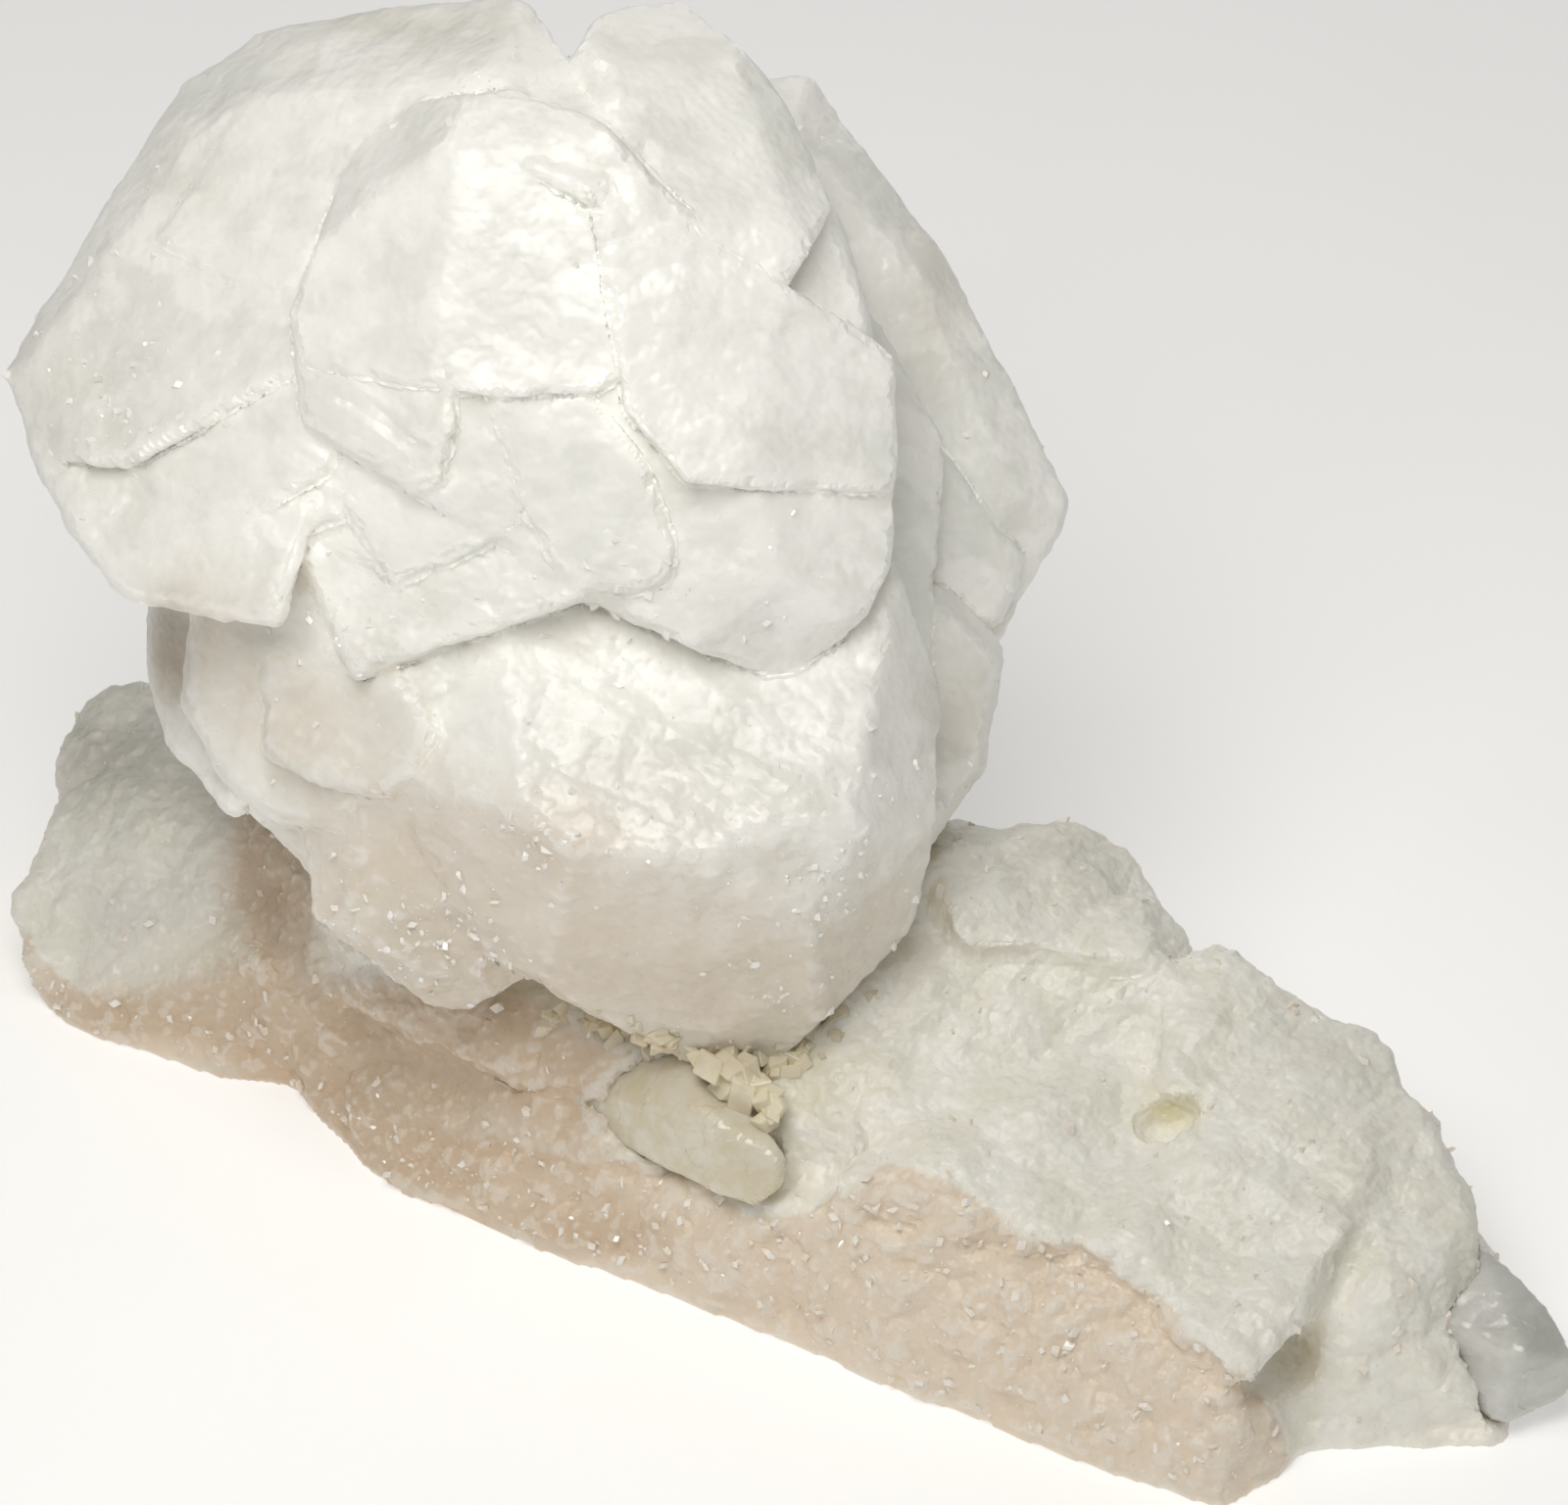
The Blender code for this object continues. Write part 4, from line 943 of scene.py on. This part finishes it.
@dataclass
class CrystalHead(Cover):
    """The head of white crystals that have grown together."""

    name: str = "head_crystals"
    node: str = "crystal_head"
    voxel: float = 0.26
    relief: Relief = Relief(
        (
            Layer(8.0, 0.75, 1.0, 1.0, warp=0.15),
            Layer(3.4, 0.30, 0.6, 1.6, angles=(12.0, 44.0, 30.0), warp=0.15),
            Layer(1.7, 0.32, 0.5, 1.2, angles=(10.0, 60.0, 35.0), warp=0.2),
            Layer(0.9, 0.16, 0.45, 1.1, angles=(50.0, 10.0, 35.0), warp=0.2),
            Layer(1.2, 0.75, 1.0, 1.0, Form.RIDGES),
        ),
        swell_size=11.0, swell_height=0.5, rough_size=1.4, rough_height=0.18, growth=0.15,
    )
    # Zones of beige, partly real tone and partly painted shade, in pixels.
    beige: tuple[Patch, ...] = (
        Patch(700, 1010, 270, 170, 1.1), Patch(430, 940, 160, 150, 1.6), Patch(300, 730, 130, 110, 0.6),
        Patch(560, 645, 170, 50, 0.25), Patch(215, 620, 80, 90, 0.6), Patch(560, 860, 120, 60, 0.4),
        Patch(920, 900, 80, 120, 0.3),
    )
    shattered: tuple[Patch, ...] = (
        Patch(760, 950, 300, 150, 0.6), Patch(430, 930, 150, 130, 0.9), Patch(330, 740, 120, 120, 0.5),
        Patch(800, 820, 200, 100, 0.5), Patch(500, 620, 260, 70, 0.35), Patch(130, 450, 90, 140, 0.3),
    )
    striated: tuple[Patch, ...] = (
        Patch(360, 450, 110, 70), Patch(700, 790, 230, 90, 0.9), Patch(560, 560, 200, 70, 0.5),
        Patch(500, 900, 160, 80, 0.3),
    )
    glinting: tuple[Patch, ...] = (
        Patch(430, 955, 90, 50), Patch(570, 850, 60, 40), Patch(835, 890, 50, 50, 0.9),
        Patch(785, 995, 40, 30, 0.8), Patch(395, 640, 50, 40, 0.6), Patch(120, 400, 70, 110, 0.5),
        Patch(490, 95, 50, 30, 0.6), Patch(660, 620, 200, 90, 0.25),
    )
    # Zones of painted shade on the head, in pixels.
    grey: tuple[Patch, ...] = (
        Patch(178, 665, 30, 75), Patch(975, 740, 60, 90, 0.4), Patch(950, 300, 40, 110, 0.35),
        Patch(200, 190, 60, 60, 0.15), Patch(430, 985, 130, 80, 0.22), Patch(640, 1010, 260, 60, 0.2),
        Patch(60, 400, 110, 120, 0.2), Patch(180, 480, 80, 50, 0.12), Patch(650, 790, 160, 80, 0.24),
        Patch(350, 740, 90, 70, 0.2), Patch(225, 700, 70, 70, 0.15), Patch(430, 930, 120, 90, 0.18),
        Patch(400, 25, 160, 22, 0.25),
    )

    def masks(self, surface: FineSurface) -> dict[Mask, Any]:
        """The values that the mesh carries, by the photograph in front and by the form behind."""
        behind = 1 - surface.front
        # Turned down and low: on the hidden sides these add broken relief, and beige that is partly painted
        # shade.
        down = smooth(-surface.normals[:, 2], -0.1, 0.8)
        low = smooth(-surface.height(), -30.0, -10.0)
        shattered = surface.zone(self.shattered)
        slow = drift(surface.places)
        return {
            Mask.WARM: surface.zone(self.beige) + behind * (0.3 * down + 0.5 * low + 0.25 * slow),
            Mask.BROKEN: 0.08 + shattered + behind * (0.25 + 0.4 * down),
            Mask.LOOSE: 1.0,
            Mask.GREY: surface.zone(self.grey),
            Mask.STRIA: 0.2 + 0.5 * behind + surface.zone(self.striated),
            Mask.SPARKLE: surface.zone(self.glinting) * 0.7 + shattered * 0.06 + 0.003 + 0.05 * behind,
        }


@dataclass
class Slab(Cover):
    """The broken slab of massive calcite under the head."""

    name: str = "matrix_rock"
    node: str = "matrix"
    voxel: float = 0.28
    relief: Relief = Relief(
        (
            Layer(6.5, 1.5, 1.0, 0.9, metric=Metric.ROUND, angles=(20.0, 50.0, 10.0), warp=0.5),
            Layer(3.2, 0.7, 0.7, 1.5, angles=(20.0, 50.0, 10.0), warp=0.4),
            Layer(1.3, 0.34, 0.8, 0.9, angles=(20.0, 10.0, 40.0)),
            Layer(0.8, 0.24, 0.9, 0.6, metric=Metric.ROUND, angles=(20.0, 50.0, 10.0)),
        ),
        swell_size=7.0, swell_height=1.2, rough_size=1.4, rough_height=0.6, growth=0.1,
    )
    rest_height: float = 1.2
    break_softness: float = 44.0
    break_line: tuple[Spot, ...] = (
        (0, 930), (37, 950), (60, 1000), (125, 1020), (200, 1035), (265, 1052), (345, 1085), (420, 1150),
        (520, 1165), (600, 1190), (680, 1175), (760, 1240), (830, 1235), (905, 1187), (985, 1215),
        (1040, 1255), (1130, 1280), (1200, 1340), (1240, 1385), (1290, 1420), (1330, 1536),
    )
    # Zones of brown, partly real tone and partly painted shade, in pixels.
    brown: tuple[Patch, ...] = (
        Patch(290, 880, 80, 120, 1.2), Patch(400, 1080, 170, 70, 1.1), Patch(470, 1050, 190, 70, 0.8),
        Patch(590, 1120, 100, 60, 0.7), Patch(780, 1050, 110, 60, 0.5), Patch(330, 1130, 100, 60, 0.8),
        Patch(430, 1190, 160, 60, 0.9), Patch(600, 1260, 160, 40, 0.8), Patch(800, 1330, 160, 40, 0.4),
        Patch(620, 1190, 90, 50, 0.4), Patch(240, 1000, 90, 60, 0.4), Patch(110, 960, 130, 110, 0.35),
        Patch(150, 1035, 150, 36, 0.7), Patch(1310, 1400, 60, 90, 0.4),
    )
    # Zones of painted shade on the slab, in pixels.
    grey: tuple[Patch, ...] = (
        Patch(100, 775, 100, 60), Patch(130, 930, 130, 80, 0.5), Patch(1085, 875, 100, 60, 0.6),
        Patch(1350, 1040, 50, 90, 0.3),
    )
    yellow: tuple[Patch, ...] = (
        Patch(1192, 1132, 32, 22), Patch(770, 1080, 80, 26, 0.8), Patch(830, 1120, 60, 30, 0.3),
    )

    def masks(self, surface: FineSurface) -> dict[Mask, Any]:
        """The values that the mesh carries; the rest face has no relief."""
        behind, height = 1 - surface.front, surface.height()
        side = 1 - smooth(surface.normals[:, 2], 0.1, 0.6)
        slow = drift(surface.places)
        below = below_line(surface.seen, self.break_line, self.break_softness)
        broken = surface.front * below + behind * (0.1 + 0.45 * side + 0.5 * slow)
        return {
            Mask.BROKEN: broken,
            Mask.WARM: surface.zone(self.brown) + behind * (0.75 - slow),
            Mask.LOOSE: smooth(height, 0.02, self.rest_height),
            Mask.SPARKLE: (0.05 + 0.3 * broken) * smooth(height, 0.3, 1.5),
            Mask.GREY: surface.zone(self.grey),
            Mask.YELLOW: surface.zone(self.yellow),
        }


@dataclass
class SmallCrystal(Cover):
    """A single small crystal that stands against the slab."""

    voxel: float = 0.14
    relief: Relief = Relief(
        (Layer(2.6, 0.25, 0.6, 0.6, Form.PLATES, step=0.02), Layer(1.6, 0.25, 0.6, 0.6)),
        swell_size=4.0, swell_height=0.4, rough_size=1.0, rough_height=0.12, growth=0.45,
    )

    def masks(self, surface: FineSurface) -> dict[Mask, Any]:
        """The values that the mesh carries."""
        return {Mask.BROKEN: 0.5, Mask.LOOSE: smooth(surface.height(), 0.0, 0.6)}


@dataclass
class Grains:
    """Tiny rhombs of calcite scattered over a piece where it carries sparkle.

    The smallest and largest are widths in millimetres, the lean is how far a rhomb slides over as it rises,
    and the draws number the random values of each rhomb's size, turn and proportions.
    """

    name: str
    slot: str
    density: float
    smallest: float
    largest: float
    seed: int
    flattest: Triple = (0.6, 0.6, 0.3)
    fullest: Triple = (1.3, 1.3, 0.9)
    turn: Triple = (6.283, 6.283, 6.283)
    lean: Spot = (0.35, 0.25)
    draws: tuple[int, int, int] = (11, 12, 13)

    def build(self, carrier: Object, finish: GrainFinish) -> None:
        """Scatters the grains over a piece and takes them as one mesh.

        Args:
            carrier: The shaped piece that the grains stand on.
            finish: The grains' finish.
        """
        material, fields = finish.material(), Fields("grains")
        density = fields.mask(Mask.SPARKLE) * self.density
        points = fields.node(
            "GeometryNodeDistributePointsOnFaces",
            {"distribute_method": "RANDOM"},
            {"Mesh": fields.shape, "Density": density, "Seed": self.seed},
            "Points",
        )
        chance = fields.chance("FLOAT", 0.0, 1.0, self.draws[0])
        turn = fields.chance("FLOAT_VECTOR", (0.0, 0.0, 0.0), self.turn, self.draws[1])
        stretch = fields.chance("FLOAT_VECTOR", self.flattest, self.fullest, self.draws[2])
        size = chance * ((self.largest - self.smallest) * MM) * chance * chance + self.smallest * MM
        sockets = {"Points": points, "Instance": self._rhomb(fields), "Rotation": turn}
        sockets["Scale"] = fields.scaled(stretch, size)
        scattered = fields.node("GeometryNodeInstanceOnPoints", {}, sockets)
        solid = fields.node("GeometryNodeRealizeInstances", {}, {"Geometry": scattered})
        solid = fields.node("GeometryNodeSetMaterial", {}, {"Geometry": solid, "Material": material})
        mesh = fields.apply(carrier, solid)
        mesh.name = self.name
        dress(new_piece(self.name, mesh), material)

    def _rhomb(self, fields: Fields) -> Value:
        """A cube one unit wide, leaned over into calcite's cleavage rhomb."""
        cube = fields.node("GeometryNodeMeshCube", {}, {"Size": (1.0, 1.0, 1.0)}, "Mesh")
        at = {0: fields.at}
        across, rise = (fields.node("ShaderNodeSeparateXYZ", {}, at, axis) for axis in "XZ")
        far, near = self.lean
        slide = fields.node("ShaderNodeCombineXYZ", {}, {"X": rise * far, "Y": rise * near + across * near})
        return fields.node("GeometryNodeSetPosition", {}, {"Geometry": cube, "Offset": slide})


@dataclass
class CreviceCrystals:
    """Small rhombs of calcite that fill the crevice between the head's tip, the blade and the slab.

    The line is in pixels of the picture. A plug is a place in it, the place next to it whose depth the plug
    takes, and its size. Sizes are half widths in millimetres, and the bevel is in parts of a rhomb's size.
    """

    name: str = "crevice_crystals"
    line: tuple[Spot, ...] = ((560, 1035), (640, 1050), (720, 1072), (775, 1086), (822, 1075), (880, 1010))
    plugs: tuple[tuple[Spot, Spot, float], ...] = (
        ((752, 1103), (715, 1128), 1.0), ((738, 1096), (715, 1128), 0.8), ((765, 1112), (730, 1140), 0.9),
        ((722, 1088), (700, 1118), 0.7), ((785, 1135), (770, 1160), 0.6),
    )
    count: int = 150
    stray: float = 10.0
    sizes: Spot = (0.15, 0.6)
    raised: float = 0.2
    plug_count: int = 4
    plug_stray: float = 0.5
    bevel: float = 0.12
    lean: tuple[Triple, Triple, Triple] = ((1.0, 0.3, 0.3), (0.0, 1.0, 0.25), (0.0, 0.0, 1.0))
    stretch: Spot = (0.7, 1.3)
    seed: int = 21

    def build(self) -> Object:
        """Sets rhombs on whatever the photograph's eye sees along the crevice.

        Returns:
            The new piece.
        """
        trees = [solid_tree(node) for node in ("crystal_head", "matrix", "blade_crystal")]
        rng = np.random.default_rng(self.seed)
        corners = np.array(self.line)
        shaped = bmesh.new()
        for across in np.linspace(corners[0, 0], corners[-1, 0], self.count):
            down = np.interp(across, corners[:, 0], corners[:, 1]) + rng.normal() * self.stray
            found = self._seen_at(trees[:2], float(across + rng.normal() * self.stray), float(down))
            if found is not None:
                self._rhomb(shaped, found, float(rng.uniform(*self.sizes)) * MM, rng)
        for spot, beside, size in self.plugs:
            level, way = self._seen_at(trees, *beside), self._way(*spot)
            depth = (level - EYE * MM).dot(-TO_EYE) / way.dot(-TO_EYE)
            for _ in range(self.plug_count):
                stray = Vector(rng.normal(size=3) * self.plug_stray * MM)
                self._rhomb(shaped, EYE * MM + way * depth + stray, size * MM, rng)
        bmesh.ops.recalc_face_normals(shaped, faces=shaped.faces)
        return piece_of(self.name, shaped)

    def _rhomb(self, shaped: bmesh.types.BMesh, seen: Vector, size: float, rng: np.random.Generator) -> None:
        """Adds a leaning, bevelled block, twice this size across, that stands just out of the surface."""
        lean = Matrix(self.lean).to_4x4()
        turn = Euler(tuple(rng.uniform(0.0, math.tau, 3))).to_matrix().to_4x4()
        stretch = Matrix.Diagonal((*rng.uniform(*self.stretch, 3), 1.0))
        place = Matrix.Translation(seen - TO_EYE * (size - self.raised * MM)) @ turn @ lean @ stretch
        block = bmesh.ops.create_cube(shaped, size=2.0 * size, matrix=place)
        edges = {edge for corner in block["verts"] for edge in corner.link_edges}
        bmesh.ops.bevel(shaped, geom=list(edges), offset=self.bevel * size, segments=1, affect="EDGES")

    @staticmethod
    def _way(across: float, down: float) -> Vector:
        """The direction in which the eye sees a pixel of the photograph."""
        right = across / PIXELS_PER_MM - WINDOW_WIDTH / 2
        up = (PICTURE_HEIGHT - down) / PIXELS_PER_MM - WINDOW_HEIGHT / 2
        return (WINDOW_CENTRE + right * TO_RIGHT + up * TO_TOP - EYE).normalized()

    def _seen_at(self, trees: list[BVHTree], across: float, down: float) -> Vector | None:
        """The nearest point of the solids that is seen at a pixel of the photograph."""
        hits = [tree.ray_cast(EYE * MM, self._way(across, down)) for tree in trees]
        seen = [(far, place) for place, _, _, far in hits if place is not None]
        return min(seen, key=lambda hit: hit[0])[1] if seen else None


# ---------------------------------------------------------------- stage


@dataclass(frozen=True)
class Lamp:
    """A square soft light that points at the cluster, placed by directions of the photograph, in metres."""

    name: str
    across: float
    up: float
    towards: float
    size: float
    watts: float
    tint: Colour = (1.0, 1.0, 1.0)

    def hang(self, target: Vector) -> None:
        """Puts the lamp in the scene."""
        data = bpy.data.lights.new(self.name, "AREA")
        data.size = self.size
        data.energy = self.watts
        data.color = self.tint
        lamp = new_piece(self.name, data)
        lamp.visible_camera = False
        way = self.across * TO_RIGHT + self.up * TO_TOP + self.towards * TO_EYE
        lamp.location = target + way
        lamp.rotation_euler = way.to_track_quat("Z", "Y").to_euler()


@dataclass
class Studio:
    """The plain pale floor, the soft light and the camera."""

    floor_reach: float = 2.5
    floor_tint: Colour = (0.90, 0.90, 0.895)
    floor_shade: float = 0.985
    floor_glow: float = 0.30
    sky: Colour = (1.0, 0.985, 0.95)
    sky_strength: float = 0.22
    aim: Triple = (-0.012, -0.004, 0.045)
    lamps: tuple[Lamp, ...] = (
        Lamp("key", -0.03, 0.10, 0.22, 0.16, 0.42, (1.0, 0.98, 0.935)),
        Lamp("back", 0.2, 0.5, -0.5, 0.5, 0.8),
    )

    def build(self) -> None:
        """Lays the floor, hangs the lamps and sets up the camera."""
        self._lay_floor()
        for lamp in self.lamps:
            lamp.hang(Vector(self.aim))
        world = bpy.data.worlds.new("studio")
        world.use_nodes = True
        sky = world.node_tree.nodes["Background"]
        sky.inputs["Color"].default_value = (*self.sky, 1.0)
        sky.inputs["Strength"].default_value = self.sky_strength
        bpy.context.scene.world = world
        self._set_camera()
        bpy.context.scene.view_settings.view_transform = "Standard"
        LOG.info("studio ready")

    def _lay_floor(self) -> None:
        """A flat pale floor just under the slab."""
        reach = self.floor_reach
        mesh = bpy.data.meshes.new("floor")
        corners = ((-reach, -reach), (reach, -reach), (reach, reach), (-reach, reach))
        mesh.from_pydata([(*corner, -FLOOR_GAP * MM) for corner in corners], [], [(0, 1, 2, 3)])
        floor = new_piece("floor", mesh)
        paint = Paint("floor_paint")
        grain = paint.noise(paint.at, 40.0, 1.0)
        shade = tuple(part * self.floor_shade for part in self.floor_tint)
        paint.set(Base_Color=paint.blend(grain.ramp(0.3, 0.7), self.floor_tint, shade), Roughness=0.9)
        paint.set(Emission_Color=(1.0, 1.0, 1.0), Emission_Strength=self.floor_glow)
        mesh.materials.append(paint.material)

    @staticmethod
    def _set_camera() -> None:
        """The camera at the photograph's eye."""
        data = bpy.data.cameras.new("photo_view")
        data.sensor_width = SENSOR_WIDTH
        data.lens = SENSOR_WIDTH * EYE_DISTANCE / WINDOW_WIDTH
        data.clip_start = 0.01
        data.clip_end = 10.0
        camera = new_piece("photo_view", data)
        turn = Matrix((TO_RIGHT, TO_TOP, TO_EYE)).transposed().to_4x4()
        camera.matrix_world = Matrix.Translation(EYE * MM) @ turn
        bpy.context.scene.camera = camera


def finishes() -> dict[str, Any]:
    """The finish of each piece, by the piece's name."""
    return {
        "head_crystals": MilkyFinish(),
        "matrix_rock": MassiveFinish(),
        "head_grains": GrainFinish("white_grain", (0.97, 0.965, 0.94), (0.92, 0.90, 0.86)),
        "matrix_grains": GrainFinish("rosy_grain", (0.95, 0.91, 0.85), (0.86, 0.79, 0.70)),
        "blade_piece": GlassyFinish("blade_glass", (0.82, 0.735, 0.55), (0.89, 0.84, 0.71), 0.2),
        "crevice_crystals": StainedFinish(),
        "end_piece": GlassyFinish("grey_glass", (0.66, 0.66, 0.62), (0.76, 0.76, 0.72), 0.15),
    }


def main() -> None:
    """Builds every piece in order."""
    logging.basicConfig(level=logging.INFO, format="%(name)s: %(message)s")
    looks = finishes()
    around = surroundings()
    covers = (
        CrystalHead(),
        Slab(),
        SmallCrystal("blade_piece", "blade_crystal"),
        SmallCrystal("end_piece", "end_crystal"),
    )
    pieces = [cover.build(around) for cover in covers]
    crevice = CreviceCrystals().build()
    bpy.data.objects.remove(around)
    head_grains = Grains("head_grains", "crystal_head", density=3.0e6, smallest=0.08, largest=0.5, seed=3)
    head_grains.build(pieces[0], looks[head_grains.name])
    matrix_grains = Grains("matrix_grains", "matrix", density=2.6e6, smallest=0.08, largest=0.6, seed=5)
    matrix_grains.build(pieces[1], looks[matrix_grains.name])
    for cover, piece in zip(covers, pieces):
        cover.dress(piece, looks[cover.name])
    dress(crevice, looks[crevice.name].material())
    Studio().build()


if __name__ == "__main__":
    main()
